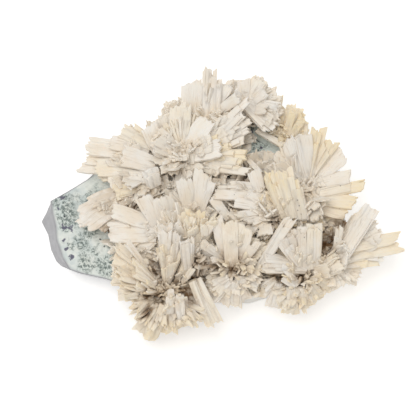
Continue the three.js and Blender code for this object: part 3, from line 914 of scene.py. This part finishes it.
CROWN_FANS = [
    ((43, 21), (12, 26), (45, 42), 3, 50, {"short": 0.85, "smooth": True, "bundle": 9.0}),
    ((-7, -26), (2, 16), (38, 41), 2, 12, {
        "short": 0.85, "smooth": True, "bundle": 10.0, "thick": 3.2,
    }),
    ((34, -8), (35, 46), (25, 29), 3, 6, {"short": 0.9, "smooth": True, "thick": 2.0, "wide": 12.0}),
    ((16, -5), (12, 28), (34, 36), 2, 25, {
        "short": 0.85, "smooth": True, "bundle": 10.0, "thick": 3.6, "honey": 0.7,
    }),
    ((-32, -104), (4, 30), (20, 18), 3, 45, {"short": 0.85, "scale_room": 30.0}),
    ((-104, -165), (18, 44), (24, 18), 3, 35, {"short": 0.85, "scale_room": 30.0}),
    ((190, 135), (14, 38), (18, 23), 2, 30, {"short": 0.85, "scale_room": 30.0}),
    ((126, 70), (8, 32), (26, 31), 3, 80, {"smooth": True, "short": 0.85, "wide": 6.0, "honey": 0.4}),
    ((-180, 180), (52, 74), (23, 24), 3, 25, {"smooth": True, "inner": 0, "short": 0.6}),
]
CROWN_BLADES = [
    ("plate", (-20, 26, 34), (0, 27, 42), 12, 3, 0),
    ("plate", (-19, 30, 34), (-7, 44, 44), 12, 2.4, 0),
    ("slab", (-6, 37, 32), (14, 54, 43), 3, 2.6, 0),
    ("slab", (-5, 33, 34), (12, 48, 41), 4, 2.6, 0),
    ("slab", (1, 37, 31), (17, 46, 38), 3, 2.6, 0),
    ("slab", (0, 33, 31), (15, 40, 37), 3, 2.6, 0.1),
    ("slab", (0, 30, 32), (13, 34, 37), 3, 2.6, 0.1),
    ("slab", (-5, 26, 31), (12, 23, 37), 7, 4, 0.7),
    ("slab", (-5, 22, 31), (10, 19, 36), 6, 4, 0.6),
    ("lath", (-12, 20, 31), (15, 15, 36), 5, 3, 0.2),
    ("lath", (9, 31, 29), (22, 16, 30), 3, 2.4, 0.1),
    ("plate", (-25, 33, 32), (-24, 53, 43), 10, 3, 0.3),
    ("slab", (-20, 33, 33), (-19, 52, 43), 4, 2.6, 0.4),
    ("petal", (-28, 38, 30), (-31, 50, 38), 8, 2.4, 0.2),
    ("petal", (-30, 32, 31), (-29, 43, 39), 7, 3, 0.3),
]
grow("crown_spray", 1, (-21.5, 26.5, 29), CROWN_FANS, chips=50,
     great=CROWN_BLADES)


# ------------------------------------------------------------------------------------------
# The summit spray stands at the back: a broad smooth plate, an upright knobbly sheaf of three
# quartz blades and a collar of shorter ones. It has its own root on the plate's top.

SUMMIT_FANS = [
    ((129, 90), (20, 32), (25, 24), 2, 4, {"smooth": True, "short": 0.8, "wide": 20.0, "step": 0.05}),
    ((90, 70), (38, 54), (30.5, 30), 2, 75, {"smooth": True, "short": 0.85}),
    ((78, 38), (24, 36), (28, 27), 2, 20, {"wide": 7.0}),
    ((34, -4), (5, 26), (18, 18), 1, 60),
    ((172, 130), (4, 18), (17, 18), 1, 30),
    ((110, 400), (56, 76), (20, 20), 3, 70, {"smooth": True, "inner": 0, "short": 0.8}),
]
SUMMIT_BLADES = [
    ("plate", (-17, 52, 32), (-17, 67, 43), 13, 3, 0),
    ("slab", (-9, 49, 32), (-8, 72, 45), 4, 3.4, 0),
    ("slab", (-6, 49, 32), (-5, 72, 45), 4, 3, 0),
    ("slab", (-3, 50, 31), (-2, 68, 43), 4, 3, 0),
    ("plate", (-1, 57, 30), (3, 66, 40), 7, 2.6, 0),
]
grow("summit_spray", 2, (-9, 48, 26), SUMMIT_FANS, chips=40,
     great=SUMMIT_BLADES)


# ------------------------------------------------------------------------------------------
# The north-east spray is white quartz too. Its thin plates lean over the bare window in the
# plate, and one long lath lies across the window.

NORTH_EAST_FANS = [
    ((122, 62), (26, 44), (11, 14), 3, 20, {"wide": 5.0}),
    ((60, 4), (16, 32), (18, 26), 3, 12, {"wide": 7.0, "thick": 1.8}),
    ((2, -44), (8, 28), (25, 30), 3, 40, {"wide": 5.0}),
    ((-48, -80), (6, 24), (20, 14), 1, 60),
    ((-120, 200), (50, 74), (14, 15), 3, 30, {"smooth": True, "inner": 0, "short": 0.8}),
]
NORTH_EAST_BLADES = [
    ("plate", (12, 61, 31), (12, 70, 38), 8, 2.4, 0),
    ("plate", (15, 61, 31), (22, 70, 38), 10, 2.4, 0.2),
    ("plate", (17, 60, 32), (24, 63, 39), 9, 2.6, 0),
    ("plate", (20, 60, 27), (31, 64, 33), 8, 3, 0.1),
    ("petal", (11, 60, 31), (7, 62, 38), 5, 2, 0),
    ("slab", (17, 59, 31), (33, 53, 36), 5, 2.6, 0),
    ("petal", (16, 57, 31), (33, 49, 34), 8, 2.4, 0),
    ("slab", (13, 57, 32), (29, 43, 34), 5, 2, 0),
    ("slab", (12, 56, 32), (25, 40, 33), 3, 2, 0),
    ("lath", (22, 43, 25), (35, 34, 26), 4, 3, 0.3),
]
grow("north_east_spray", 3, (9, 61, 25), NORTH_EAST_FANS, chips=30,
     great=NORTH_EAST_BLADES)


# ------------------------------------------------------------------------------------------
# The east shoulder tuft is a low clump of short plates at the plate's edge. Iron has stained
# this quartz honey yellow.

SHOULDER_FANS = [
    ((110, 46), (8, 32), (12, 14), 2, 70, {"short": 0.9, "scale_room": 30.0}),
    ((42, -24), (6, 30), (13, 15), 3, 60, {"short": 0.9, "scale_room": 30.0}),
    ((-30, -160), (8, 34), (14, 11), 3, 70, {"short": 0.9, "scale_room": 30.0}),
    ((-180, 180), (44, 68), (13, 13), 3, 60, {"smooth": True, "inner": 0, "short": 0.8}),
]
SHOULDER_BLADES = [
    ("petal", (35, 47, 24), (36, 55, 31), 6, 2.6, 0.8),
    ("petal", (38, 46, 24), (42, 56, 30), 7, 2.6, 0.9),
    ("petal", (40, 45, 24), (46, 49, 30), 6, 2.6, 0.9),
    ("petal", (42, 43, 24), (48, 43, 29), 6, 2.6, 0.8),
    ("slab", (37, 43, 26), (40, 52, 35), 4, 2.4, 1),
    ("slab", (40, 41, 26), (44, 47, 34), 4, 2.4, 1),
]
grow("east_shoulder_tuft", 4, (35, 48, 21), SHOULDER_FANS, honey=0.8, iron_and_shade=0.2,
     chips=20, bed=14.0, great=SHOULDER_BLADES)


# ------------------------------------------------------------------------------------------
# The east rosette is a wide open fan of broad plates round a crumbly middle, white above and
# honey yellow along its right side. All of its blades share one root.

EAST_ROSETTE_FANS = [
    ((120, 66), (14, 42), (33, 37), 4, 70, {"smooth": True, "short": 0.85, "honey": 0.5, "wide": 5.0}),
    ((64, 32), (16, 30), (35, 30), 2, 8, {"smooth": True, "short": 0.9, "wide": 16.0}),
    ((26, 6), (8, 24), (25, 25), 1, 20, {"short": 0.9, "smooth": True, "bundle": 9.0, "thick": 3.4}),
    ((2, -9), (10, 26), (31, 31), 1, 30, {
        "short": 0.8, "smooth": True, "honey": 0.9, "bundle": 5.0, "thick": 3.6,
    }),
    ((-12, -58), (6, 24), (31, 25), 3, 15, {
        "smooth": True, "honey": 0.7, "wide": 12.0, "thick": 3.4, "short": 0.85,
    }),
    ((-64, -104), (16, 40), (25, 24), 2, 60),
    ((166, 124), (22, 46), (29, 27), 3, 30, {"wide": 7.0}),
    ((200, 170), (10, 34), (18, 22), 1, 50),
    ((-180, 180), (50, 74), (21, 21), 3, 50, {"smooth": True, "inner": 0, "short": 0.65}),
]
EAST_ROSETTE_BLADES = [
    ("plate", (44, 16, 28), (35, 32, 43), 9, 2.6, 0),
    ("petal", (46, 17, 28), (40, 35, 43), 4, 2.2, 0),
    ("plate", (47, 17, 28), (45, 35, 44), 9, 2.6, 0.1),
    ("petal", (49, 18, 27), (52, 37, 43), 5, 2.4, 1),
    ("slab", (50, 18, 27), (56, 39, 42), 3, 2.2, 1),
    ("petal", (51, 18, 26), (61, 32, 40), 7, 2.6, 0.8),
    ("plate", (53, 16, 26), (67, 26, 37), 10, 2.6, 0.1),
    ("plate", (54, 12, 26), (71, 13, 35), 8, 2.8, 0.1),
    ("slab", (54, 6, 26), (76, 8, 33), 5, 3.4, 0.8),
    ("plate", (54, 3, 26), (73, -2, 32), 9, 3.4, 0.9),
    ("plate", (53, -2, 25), (68, -8, 29), 7, 3, 0.6),
    ("petal", (42, 15, 27), (30, 25, 39), 7, 2.4, 0.1),
]
grow("east_rosette", 5, (47.5, 11, 20), EAST_ROSETTE_FANS, chips=6, bed=26.0,
     great=EAST_ROSETTE_BLADES)


# ------------------------------------------------------------------------------------------
# The ridge sheaf is a stack of yellow quartz plates, close together like roof tiles. It leans
# back against the east rosette from its own root.

RIDGE_FANS = [
    ((123, 66), (28, 52), (39, 28), 5, 70, {
        "short": 0.85, "smooth": True, "leaves": False, "wide": 7.0, "thick": 3.0,
    }),
    ((128, 76), (56, 74), (30, 28), 2, 70, {"smooth": True, "short": 0.8, "leaves": False}),
    ((150, 128), (16, 40), (24, 28), 1, 70),
    ((-70, -140), (4, 36), (12, 12), 1, 60),
]
RIDGE_BLADES = [
    ("slab", (33, -7, 31), (25, 11, 42), 5, 3, 1),
    ("petal", (36, -8, 32), (28, 13, 44), 5, 3, 0.8),
    ("slab", (38, -8, 33), (32, 12, 44), 4, 3, 0.9),
    ("petal", (41, -8, 32), (35, 13, 44), 6, 3, 0.7),
    ("slab", (43, -8, 31), (38, 9, 43), 5, 3, 0.8),
    ("slab", (45, -8, 29), (41, 5, 40), 4, 3, 0.4),
]
grow("ridge_sheaf", 6, (37, -10, 22), RIDGE_FANS, honey=0.8, chips=16, bed=16.0,
     great=RIDGE_BLADES)


# ------------------------------------------------------------------------------------------
# The east fan reaches furthest past the plate: one long beam leans up and back, and two broad
# yellow arms stand out level to the right. They are packs of grown-together laths.

EAST_FAN_FANS = [
    ((64, 45), (16, 36), (42, 45), 2, 55, {"short": 0.8, "smooth": True, "bundle": 9.0, "layers": 4}),
    ((44, 26), (5, 22), (36, 36), 1, 25, {"wide": 5.0}),
    ((24, 3), (2, 18), (45, 39), 2, 15, {
        "short": 0.8, "smooth": True, "honey": 0.7, "bundle": 11.0, "thick": 3.4,
    }),
    ((-2, -86), (-1, 18), (20, 13), 3, 25, {"thick": 2.4, "wide": 6.0}),
    ((90, 66), (20, 44), (22, 24), 1, 60),
    ((110, -40), (40, 66), (20, 18), 2, 45),
]
EAST_FAN_BLADES = [
    ("slab", (62, -34, 26), (82, -5, 41), 8, 3, 0),
    ("plate", (66, -26, 27), (96, -21, 31), 7, 4, 0.7),
    ("plate", (72, -29, 25), (98, -25, 28), 7, 4, 0.7),
    ("petal", (67, -28, 23), (88, -29, 24), 7, 2.6, 0),
    ("petal", (72, -21, 27), (84, -16, 32), 6, 3, 0.1),
]
grow("east_fan", 7, (58, -32.5, 20), EAST_FAN_FANS,
     great=EAST_FAN_BLADES)


# ------------------------------------------------------------------------------------------
# The south-east rosette is worn: upright slabs behind, and a front of short crumbly pieces with
# iron stain and painted shade in the pits between them. It overhangs the plate's front edge.

# How the worn fans differ from the rest: short ragged laths with gaps between them.
CRUMBLY = {
    "leaves": True, "wide": 3.4, "thick": 2.2, "step": 0.4, "ragged": 0.35, "gaps": 0.15,
    "stray": 0.2, "short": 0.82, "honey": 0.7, "scale_width": 3.6, "scale_room": 8.0,
}
SOUTH_EAST_FANS = [
    ((120, 68), (28, 54), (36, 34), 5, 75, {
        "smooth": True, "leaves": False, "wide": 6.0, "honey": 0.4, "short": 0.9, "thick": 2.0,
    }),
    ((172, 120), (16, 28), (28, 24), 3, 8, {"smooth": True, "wide": 12.0}),
    ((62, 8), (18, 44), (26, 24), 3, 65),
    ((4, -66), (0, 22), (17, 14), 2, 45, CRUMBLY),
    ((-70, -128), (-4, 18), (14, 21), 3, 45, CRUMBLY),
    ((-130, -184), (-2, 22), (22, 26), 2, 45, {"scale_width": 5.0, "scale_room": 12.0, "short": 0.8}),
    ((0, -200), (30, 58), (16, 17), 2, 55, CRUMBLY),
]
SOUTH_EAST_BLADES = [
    ("petal", (43, -37, 28), (21, -35, 34), 12, 2.2, 0),
    ("petal", (42, -36, 28), (34, -25, 39), 9, 2.2, 0),
    ("petal", (42, -33, 26), (37, -19, 38), 9, 2.2, 0),
    ("slab", (22, -34, 29), (36, -15, 41), 5, 2.4, 0),
    ("slab", (44, -35, 28), (43, -18, 42), 4, 3, 0.1),
    ("slab", (47, -35, 28), (47, -17, 43), 4, 3, 0.4),
    ("slab", (51, -34, 28), (51, -17, 43), 4, 3, 0.3),
    ("petal", (61, -32, 24), (62, -18, 40), 5, 2.6, 0.1),
    ("slab", (40, -46, 28), (32, -38, 34), 3, 2, 0),
    ("slab", (38, -47, 28), (29, -42, 32), 3, 2, 0),
    ("slab", (42, -45, 28), (37, -38, 35), 3, 2, 0),
    ("petal", (30, -46, 27), (27, -56, 17), 7, 2.6, 0),
    ("petal", (29, -44, 27), (21, -48, 21), 7, 2.4, 0),
    ("petal", (37, -49, 27), (37, -60, 16), 8, 3, 0.5),
    ("petal", (43, -48, 27), (45, -56, 18), 9, 3, 0.6),
    ("petal", (47, -46, 27), (52, -52, 19), 8, 3, 0.7),
    ("petal", (50, -43, 26), (60, -45, 20), 8, 3, 0.8),
    ("petal", (50, -41, 27), (60, -38, 24), 7, 2.6, 0.4),
    ("petal", (61, -36, 23), (74, -39, 18), 11, 2.4, 0.2),
]
grow("south_east_rosette", 8, (44, -42, 20), SOUTH_EAST_FANS, iron_and_shade=1.1,
     honey=0.45, chips=80, great=SOUTH_EAST_BLADES)


# ------------------------------------------------------------------------------------------
# The south rosette has tall plates behind and a short ragged skirt that hangs over the plate's
# front edge, with pits round its root, brown with iron stain and painted shade.

SOUTH_FANS = [
    ((155, 104), (20, 48), (25, 23), 3, 60, {"smooth": True, "short": 0.9}),
    ((106, 66), (34, 58), (27, 26), 3, 40, {"smooth": True, "wide": 6.0}),
    ((62, 14), (26, 42), (26, 23), 3, 30, {"smooth": True, "wide": 7.0}),
    ((10, -56), (2, 26), (15, 20), 2, 45, {"short": 0.85, "scale_width": 5.0, "scale_room": 16.0}),
    ((-60, -134), (-4, 18), (18, 21), 3, 35, {"short": 0.85, "scale_width": 5.0, "scale_room": 16.0}),
    ((-138, -188), (2, 24), (19, 23), 2, 35, {"short": 0.85, "scale_width": 5.0, "scale_room": 16.0}),
    ((0, -200), (32, 60), (16, 17), 2, 50, CRUMBLY),
]
SOUTH_BLADES = [
    ("petal", (-1, -32, 29), (-11, -27, 40), 5, 2.2, 0.1),
    ("petal", (0, -29, 31), (-6, -25, 41), 3, 2, 0),
    ("plate", (1, -29, 31), (-3, -14, 43), 7, 2.4, 0),
    ("plate", (5, -33, 31), (4, -15, 44), 9, 2.6, 0.4),
    ("plate", (10, -30, 31), (13, -18, 43), 9, 2.6, 0.3),
    ("petal", (5, -35, 29), (6, -23, 41), 5, 3, 0.5),
    ("petal", (11, -33, 28), (17, -25, 40), 8, 2.6, 0.1),
    ("slab", (0, -34, 28), (-9, -35, 37), 3, 2.4, 0),
    ("petal", (3, -43, 28), (-8, -47, 22), 6, 2.4, 0.2),
    ("petal", (4, -45, 27), (-6, -51, 18), 7, 2.4, 0.1),
    ("petal", (4, -45, 26), (0, -53, 17), 8, 2.4, 0.1),
    ("petal", (7, -45, 27), (5, -54, 17), 10, 2.6, 0.1),
    ("petal", (8, -44, 27), (12, -52, 18), 7, 2.4, 0),
    ("slab", (8, -44, 28), (17, -43, 22), 4, 2.4, 0.1),
    ("slab", (5, -37, 26), (-17, -37, 28), 3, 2.4, 0.2),
]
grow("south_rosette", 9, (6.5, -34.5, 22), SOUTH_FANS, iron_and_shade=1.1,
     honey=0.4, chips=60, great=SOUTH_BLADES)


# ------------------------------------------------------------------------------------------
# The south-west rosette is the largest at the front and the most stained: smooth tall plates
# behind, crumbly yellowish pieces in front and deep pits round its root, brown with iron stain
# and painted shade.

SOUTH_WEST_FANS = [
    ((160, 112), (8, 34), (36, 36), 3, 40, {"smooth": True, "wide": 11.0}),
    ((112, 54), (24, 52), (37, 35), 4, 60, {"smooth": True, "wide": 9.0}),
    ((184, 162), (4, 26), (28, 31), 2, 50, CRUMBLY),
    ((-126, -176), (-2, 18), (24, 27), 3, 55, CRUMBLY),
    ((-122, -103), (-4, 16), (25, 25), 1, 45, CRUMBLY),
    ((-100, -54), (-4, 16), (21, 22), 3, 50, CRUMBLY),
    ((-50, -28), (-2, 18), (29, 28), 2, 55, CRUMBLY),
    ((-22, 48), (10, 42), (23, 25), 3, 70),
    ((-30, -190), (24, 50), (19, 20), 4, 70, CRUMBLY),
]
SOUTH_WEST_BLADES = [
    ("petal", (-35, -40, 27), (-46, -24, 42), 12, 2.4, 0.1),
    ("petal", (-31, -38, 29), (-31, -19, 46), 9, 2.4, 0),
    ("petal", (-26, -37, 29), (-25, -23, 43), 6, 2.2, 0),
    ("slab", (-19, -37, 32), (-20, -26, 43), 4, 2.6, 0),
    ("petal", (-16, -38, 29), (-15, -24, 42), 6, 2.2, 0),
    ("petal", (-39, -37, 25), (-58, -28, 29), 13, 2.6, 0.5),
    ("petal", (-40, -41, 24), (-61, -38, 19), 11, 2.6, 0.4),
    ("petal", (-36, -46, 28), (-55, -44, 21), 6, 2.4, 0.2),
    ("petal", (-37, -50, 26), (-57, -52, 17), 10, 2.8, 0.2),
    ("slab", (-34, -54, 27), (-50, -59, 18), 5, 2.4, 0.4),
    ("slab", (-34, -56, 26), (-47, -64, 16), 6, 2.6, 0.4),
    ("petal", (-34, -58, 25), (-45, -70, 15), 8, 2.6, 0.3),
    ("slab", (-31, -59, 27), (-39, -75, 17), 6, 2.8, 0.8),
    ("slab", (-30, -58, 26), (-33, -69, 18), 4, 2.6, 0.9),
    ("petal", (-28, -58, 26), (-29, -70, 18), 9, 3, 0.7),
    ("petal", (-24, -58, 26), (-22, -68, 19), 8, 3, 0.5),
    ("slab", (-18, -54, 28), (-14, -67, 20), 6, 2.8, 0.2),
    ("slab", (-16, -48, 31), (-7, -70, 20), 5, 2.8, 0.5),
    ("slab", (-13, -46, 30), (-3, -65, 22), 5, 2.8, 0.4),
    ("slab", (-28, -59, 27), (-28, -52, 39), 5, 4, 0),
    ("slab", (-22, -62, 26), (-23, -55, 37), 5, 4, 0),
    ("slab", (-17, -36, 27), (0, -38, 29), 3, 2.4, 0.3),
    ("petal", (-25, -43, 25), (-12, -58, 19), 11, 2.8, 0.5),
]
grow("south_west_rosette", 10, (-29.5, -49.5, 22), SOUTH_WEST_FANS, iron_and_shade=1.2,
     honey=0.5, core=11.0, chips=90, great=SOUTH_WEST_BLADES)


# ------------------------------------------------------------------------------------------
# The west sheaf is a bundle of thin plates on edge, a little yellow, which stands between the
# south-west rosette and the shell sheaf.

WEST_SHEAF_FANS = [
    ((114, 60), (28, 52), (31, 28), 3, 70, {"honey": 0.6}),
    ((154, 122), (16, 40), (33, 33), 2, 50, {"wide": 5.0}),
    ((140, 50), (58, 76), (21, 21), 1, 60, {"smooth": True, "inner": 0, "short": 0.8}),
    ((50, -10), (10, 40), (16, 14), 1, 60),
]
WEST_SHEAF_BLADES = [
    ("petal", (-14, -27, 28), (-13, -11, 44), 7, 2.4, 0.9),
    ("petal", (-16, -27, 28), (-19, -10, 44), 5, 2.2, 0.6),
    ("petal", (-19, -25, 30), (-26, -18, 43), 7, 2.2, 0.1),
]
grow("west_sheaf", 11, (-14, -32.5, 24), WEST_SHEAF_FANS,
     great=WEST_SHEAF_BLADES)


# ------------------------------------------------------------------------------------------
# The west slabs are smooth thick plates that lie one on the other like shingles and point to
# the left, over the bare end of the plate.

WEST_SLABS_FANS = [
    ((172, 134), (20, 34), (26, 19), 2, 8, {"smooth": True, "short": 0.8, "wide": 10.0}),
    ((174, 206), (4, 18), (27, 22), 2, 8, {"smooth": True, "short": 0.8, "wide": 11.0}),
    ((130, 50), (22, 46), (19, 19), 2, 35, {"smooth": True, "short": 0.85}),
    ((40, -60), (12, 38), (18, 16), 2, 45),
    ((-66, -144), (8, 30), (16, 18), 2, 35),
    ((-180, 180), (52, 74), (15, 15), 2, 35, {"smooth": True, "inner": 0, "short": 0.8}),
]
WEST_SLABS_BLADES = [
    ("plate", (-42, -12, 31), (-60, -7, 36), 10, 2.8, 0.1),
    ("plate", (-40, -18, 30), (-62, -18, 32), 13, 2.8, 0),
    ("plate", (-40, -24, 28), (-58, -27, 27), 10, 2.6, 0.3),
    ("plate", (-36, -12, 31), (-43, 0, 40), 9, 2.6, 0),
    ("plate", (-31, -12, 30), (-34, -1, 41), 9, 2.6, 0.1),
]
grow("west_slabs", 12, (-39.5, -16, 23), WEST_SLABS_FANS, chips=10,
     great=WEST_SLABS_BLADES)


# ------------------------------------------------------------------------------------------
# The west plates are the longest smooth plates of the specimen. They reach out level to the
# left in a broad overlapping mass, under the crown spray.

WEST_PLATES_FANS = [
    ((176, 150), (8, 24), (37, 31), 3, 8, {"smooth": True, "short": 0.85, "wide": 9.0}),
    ((150, 108), (14, 34), (24, 19), 2, 20, {"wide": 6.0}),
    ((192, 175), (-2, 8), (34, 41), 2, 8, {"smooth": True, "short": 0.85, "wide": 9.0, "honey": 0.5}),
    ((196, 300), (6, 32), (24, 17), 3, 35, {"short": 0.85, "scale_room": 30.0}),
    ((178, 146), (28, 42), (30, 25), 2, 8, {"smooth": True, "short": 0.75, "wide": 10.0}),
    ((-180, 180), (50, 74), (16, 16), 2, 30, {"smooth": True, "inner": 0, "short": 0.7, "wide": 6.0}),
]
WEST_PLATES_BLADES = [
    ("plate", (-47, 29, 30), (-76, 33, 31), 12, 3, 0.1),
    ("plate", (-44, 31, 31), (-62, 34, 34), 9, 2.6, 0),
    ("plate", (-50, 21, 26), (-80, 22, 25), 8, 3, 0.1),
    ("plate", (-50, 26, 28), (-76, 27, 28), 10, 2.6, 0.1),
    ("plate", (-44, 20, 30), (-71, 20, 30), 11, 3, 0.4),
    ("plate", (-40, 21, 34), (-55, 24, 39), 12, 2.6, 0),
    ("plate", (-40, 13, 32), (-55, 14, 34), 8, 2.6, 0.1),
    ("petal", (-45, 9, 27), (-59, 5, 31), 8, 2.4, 0.7),
    ("slab", (-37, 9, 34), (-39, 15, 41), 8, 3, 0),
]
grow("west_plates", 13, (-41.5, 19.5, 25), WEST_PLATES_FANS, chips=16,
     great=WEST_PLATES_BLADES)


# ------------------------------------------------------------------------------------------
# The north-west plates are a small spray at the back left of the crown, with short petals that
# iron has stained a little yellow.

NORTH_WEST_FANS = [
    ((166, 150), (6, 20), (25, 22), 1, 20, {"honey": 0.6, "smooth": True, "short": 0.85}),
    ((150, 84), (12, 34), (15, 17), 3, 35, {"smooth": True, "wide": 6.0}),
    ((170, 60), (40, 66), (14, 14), 2, 35),
]
NORTH_WEST_BLADES = [
    ("petal", (-38, 32, 29), (-55, 40, 34), 8, 3, 0.4),
    ("petal", (-36, 34, 28), (-50, 42, 33), 6, 2.6, 0.6),
    ("plate", (-34, 28, 31), (-41, 42, 38), 10, 3, 0),
    ("petal", (-30, 38, 29), (-38, 47, 34), 8, 2.6, 0),
]
grow("north_west_plates", 14, (-33, 33, 25), NORTH_WEST_FANS, chips=20, bed=16.0,
     great=NORTH_WEST_BLADES)


# ------------------------------------------------------------------------------------------
# The west paddle is a flat fan of four broad plates over the bare plate, a little browner than
# the rest all over, as its brown tint reaches far out from its root.

PADDLE_FANS = [
    ((-166, -116), (-2, 18), (30, 29), 4, 25, {"smooth": True, "short": 0.8, "wide": 9.0}),
    ((-158, -130), (22, 34), (30, 28), 2, 8, {"smooth": True, "short": 0.75, "wide": 8.0}),
]
PADDLE_BLADES = [
    ("plate", (-54, 6, 27), (-79, -8, 26), 13, 3, 0),
    ("plate", (-54, 2, 28), (-76, -14, 27), 12, 3, 0),
    ("plate", (-56, 8, 26), (-72, 1, 25), 9, 2.8, 0),
    ("plate", (-52, 0, 27), (-69, -15, 25), 9, 2.8, 0.1),
]
grow("west_paddle", 15, (-52.5, 6, 21), PADDLE_FANS, bed=12.0, iron_and_shade=0.4, core=30.0,
     great=PADDLE_BLADES)


# ------------------------------------------------------------------------------------------
# The inner rosette is a small spray in the middle of the specimen. Its laths lie level and
# point left, towards the shell sheaf.

INNER_ROSETTE_FANS = [
    ((182, 150), (6, 30), (22, 18), 1, 50),
    ((184, 222), (8, 30), (27, 21), 3, 50),
    ((226, 290), (8, 34), (18, 18), 3, 40, {"wide": 6.0}),
    ((140, 300), (40, 64), (15, 15), 2, 45),
]
INNER_ROSETTE_BLADES = [
    ("plate", (24, -4, 32), (6, -3, 37), 6, 2.6, 0),
    ("slab", (24, -6, 31), (9, -10, 35), 4, 2.4, 0),
    ("slab", (26, -8, 30), (17, -14, 34), 4, 2.4, 0),
    ("slab", (24, -2, 31), (13, 2, 37), 4, 2.4, 0),
]
grow("inner_rosette", 16, (27.5, -5, 25), INNER_ROSETTE_FANS,
     great=INNER_ROSETTE_BLADES)


# ------------------------------------------------------------------------------------------
# The inner sheaf lies beside the inner rosette: straight bundles of laths that point left and a
# short upright plate.

INNER_SHEAF_FANS = [
    ((172, 204), (0, 22), (27, 27), 3, 40, {"smooth": True, "bundle": 8.0}),
    ((165, 200), (26, 46), (20, 20), 2, 40),
    ((140, 70), (8, 30), (12, 10), 1, 45, {"smooth": True, "short": 0.45}),
]
INNER_SHEAF_BLADES = [
    ("slab", (16, 9, 31), (-2, 8, 36), 4, 2.4, 0),
    ("slab", (16, 6, 31), (-1, 6, 35), 3, 2.4, 0.1),
    ("plate", (19, 2, 32), (-5, 2, 37), 6, 2.6, 0),
    ("plate", (21, 4, 30), (17, 17, 36), 8, 2.4, 0),
]
grow("inner_sheaf", 17, (22, 9, 24), INNER_SHEAF_FANS,
     great=INNER_SHEAF_BLADES)


# ------------------------------------------------------------------------------------------
# The shell sheaf stands in the middle: two broad plates in a V, like an open shell, with
# smaller ones round their foot.

SHELL_FANS = [
    ((90, 64), (32, 50), (25, 22), 2, 20, {"smooth": True, "short": 0.8, "wide": 14.0}),
    ((119, 91), (34, 52), (26, 26), 2, 10, {"smooth": True, "short": 0.8, "wide": 14.0}),
    ((154, 121), (18, 42), (25, 26), 2, 20, {"smooth": True, "short": 0.85, "wide": 14.0}),
    ((150, 60), (58, 76), (17, 16), 2, 30, {"smooth": True, "inner": 0, "short": 0.8, "wide": 6.0}),
    ((56, 4), (12, 36), (15, 13), 2, 50),
    ((-20, -200), (30, 56), (11, 12), 2, 45),
]
SHELL_BLADES = [
    ("plate", (-13, -6, 31), (-10, 13, 45), 11, 2.6, 0.1),
    ("petal", (-11, -6, 30), (-5, 8, 43), 4, 2.2, 0),
    ("plate", (-17, -6, 30), (-21, 9, 44), 9, 2.6, 0.1),
    ("plate", (-24, -11, 28), (-32, -1, 40), 9, 2.4, 0.1),
    ("plate", (2, -8, 31), (-6, 1, 36), 6, 2.4, 0),
    ("slab", (0, -12, 32), (8, -4, 37), 4, 2.4, 0),
]
grow("shell_sheaf", 18, (-14.5, -7, 25), SHELL_FANS,
     great=SHELL_BLADES)


# ------------------------------------------------------------------------------------------
# The studio: a pale floor, soft light from all round with a stronger lamp above and a weak one
# at the front right, and a camera that looks down steeply.

floor_mesh = bpy.data.meshes.new("floor")
floor_mesh.from_pydata([(-4, -4, 0), (4, -4, 0), (4, 4, 0), (-4, 4, 0)], [], [(0, 1, 2, 3)])
floor = bpy.data.objects.new("floor", floor_mesh)
floor.location.z = -0.0002
bpy.context.collection.objects.link(floor)
floor_paint = bpy.data.materials.new("pale_floor")
floor_paint.use_nodes = True
for label, value in (
    ("Base Color", (1, 1, 1, 1)), ("Roughness", 0.9),
    ("Emission Color", (1, 1, 1, 1)), ("Emission Strength", 0.25),
):
    floor_paint.node_tree.nodes["Principled BSDF"].inputs[label].default_value = value
floor_mesh.materials.append(floor_paint)

world = bpy.data.worlds.new("studio")
world.use_nodes = True
world.node_tree.nodes["Background"].inputs["Color"].default_value = (1, 0.995, 0.985, 1)
world.node_tree.nodes["Background"].inputs["Strength"].default_value = 0.53
bpy.context.scene.world = world
for name, place, size, power in (
    ("key", (-0.3, -0.05, 1.35), 1.0, 8.7),
    ("fill", (0.9, -0.7, 1.1), 1.4, 0.8),
):
    lamp = bpy.data.lights.new(name, "AREA")
    lamp.size = size
    lamp.energy = power
    lamp.color = (1, 0.985, 0.95)
    lit = bpy.data.objects.new(name, lamp)
    lit.location = place
    lit.rotation_euler = (Vector((0, 0, 0)) - Vector(place)).to_track_quat("-Z", "Y").to_euler()
    bpy.context.collection.objects.link(lit)

# The camera looks down from the front, and its lens is moved over by a few pixels to frame the
# specimen.
CAMERA_FAR = 700.0           # millimetres from the specimen's middle
CAMERA_TILT = math.radians(70)
SPECIMEN_MIDDLE = (0, 0, 25.0)
PIXEL = 0.55                 # millimetres that one pixel covers there
PICTURE_WIDTH = 416          # pixels
camera = bpy.data.cameras.new("camera")
camera.sensor_width = 36.0
camera.lens = camera.sensor_width * (CAMERA_FAR / PIXEL) / PICTURE_WIDTH
camera.shift_x = -14 / PICTURE_WIDTH
camera.shift_y = -3 / PICTURE_WIDTH
eye = bpy.data.objects.new("camera", camera)
target = (np.array(SPECIMEN_MIDDLE) + SHIFT) / 1000
back = np.array((0, -math.cos(CAMERA_TILT), math.sin(CAMERA_TILT)))
eye.location = target + back * CAMERA_FAR / 1000
eye.rotation_euler = Vector(-back).to_track_quat("-Z", "Y").to_euler()
bpy.context.collection.objects.link(eye)
bpy.context.scene.camera = eye
bpy.context.scene.view_settings.view_transform = "Standard"
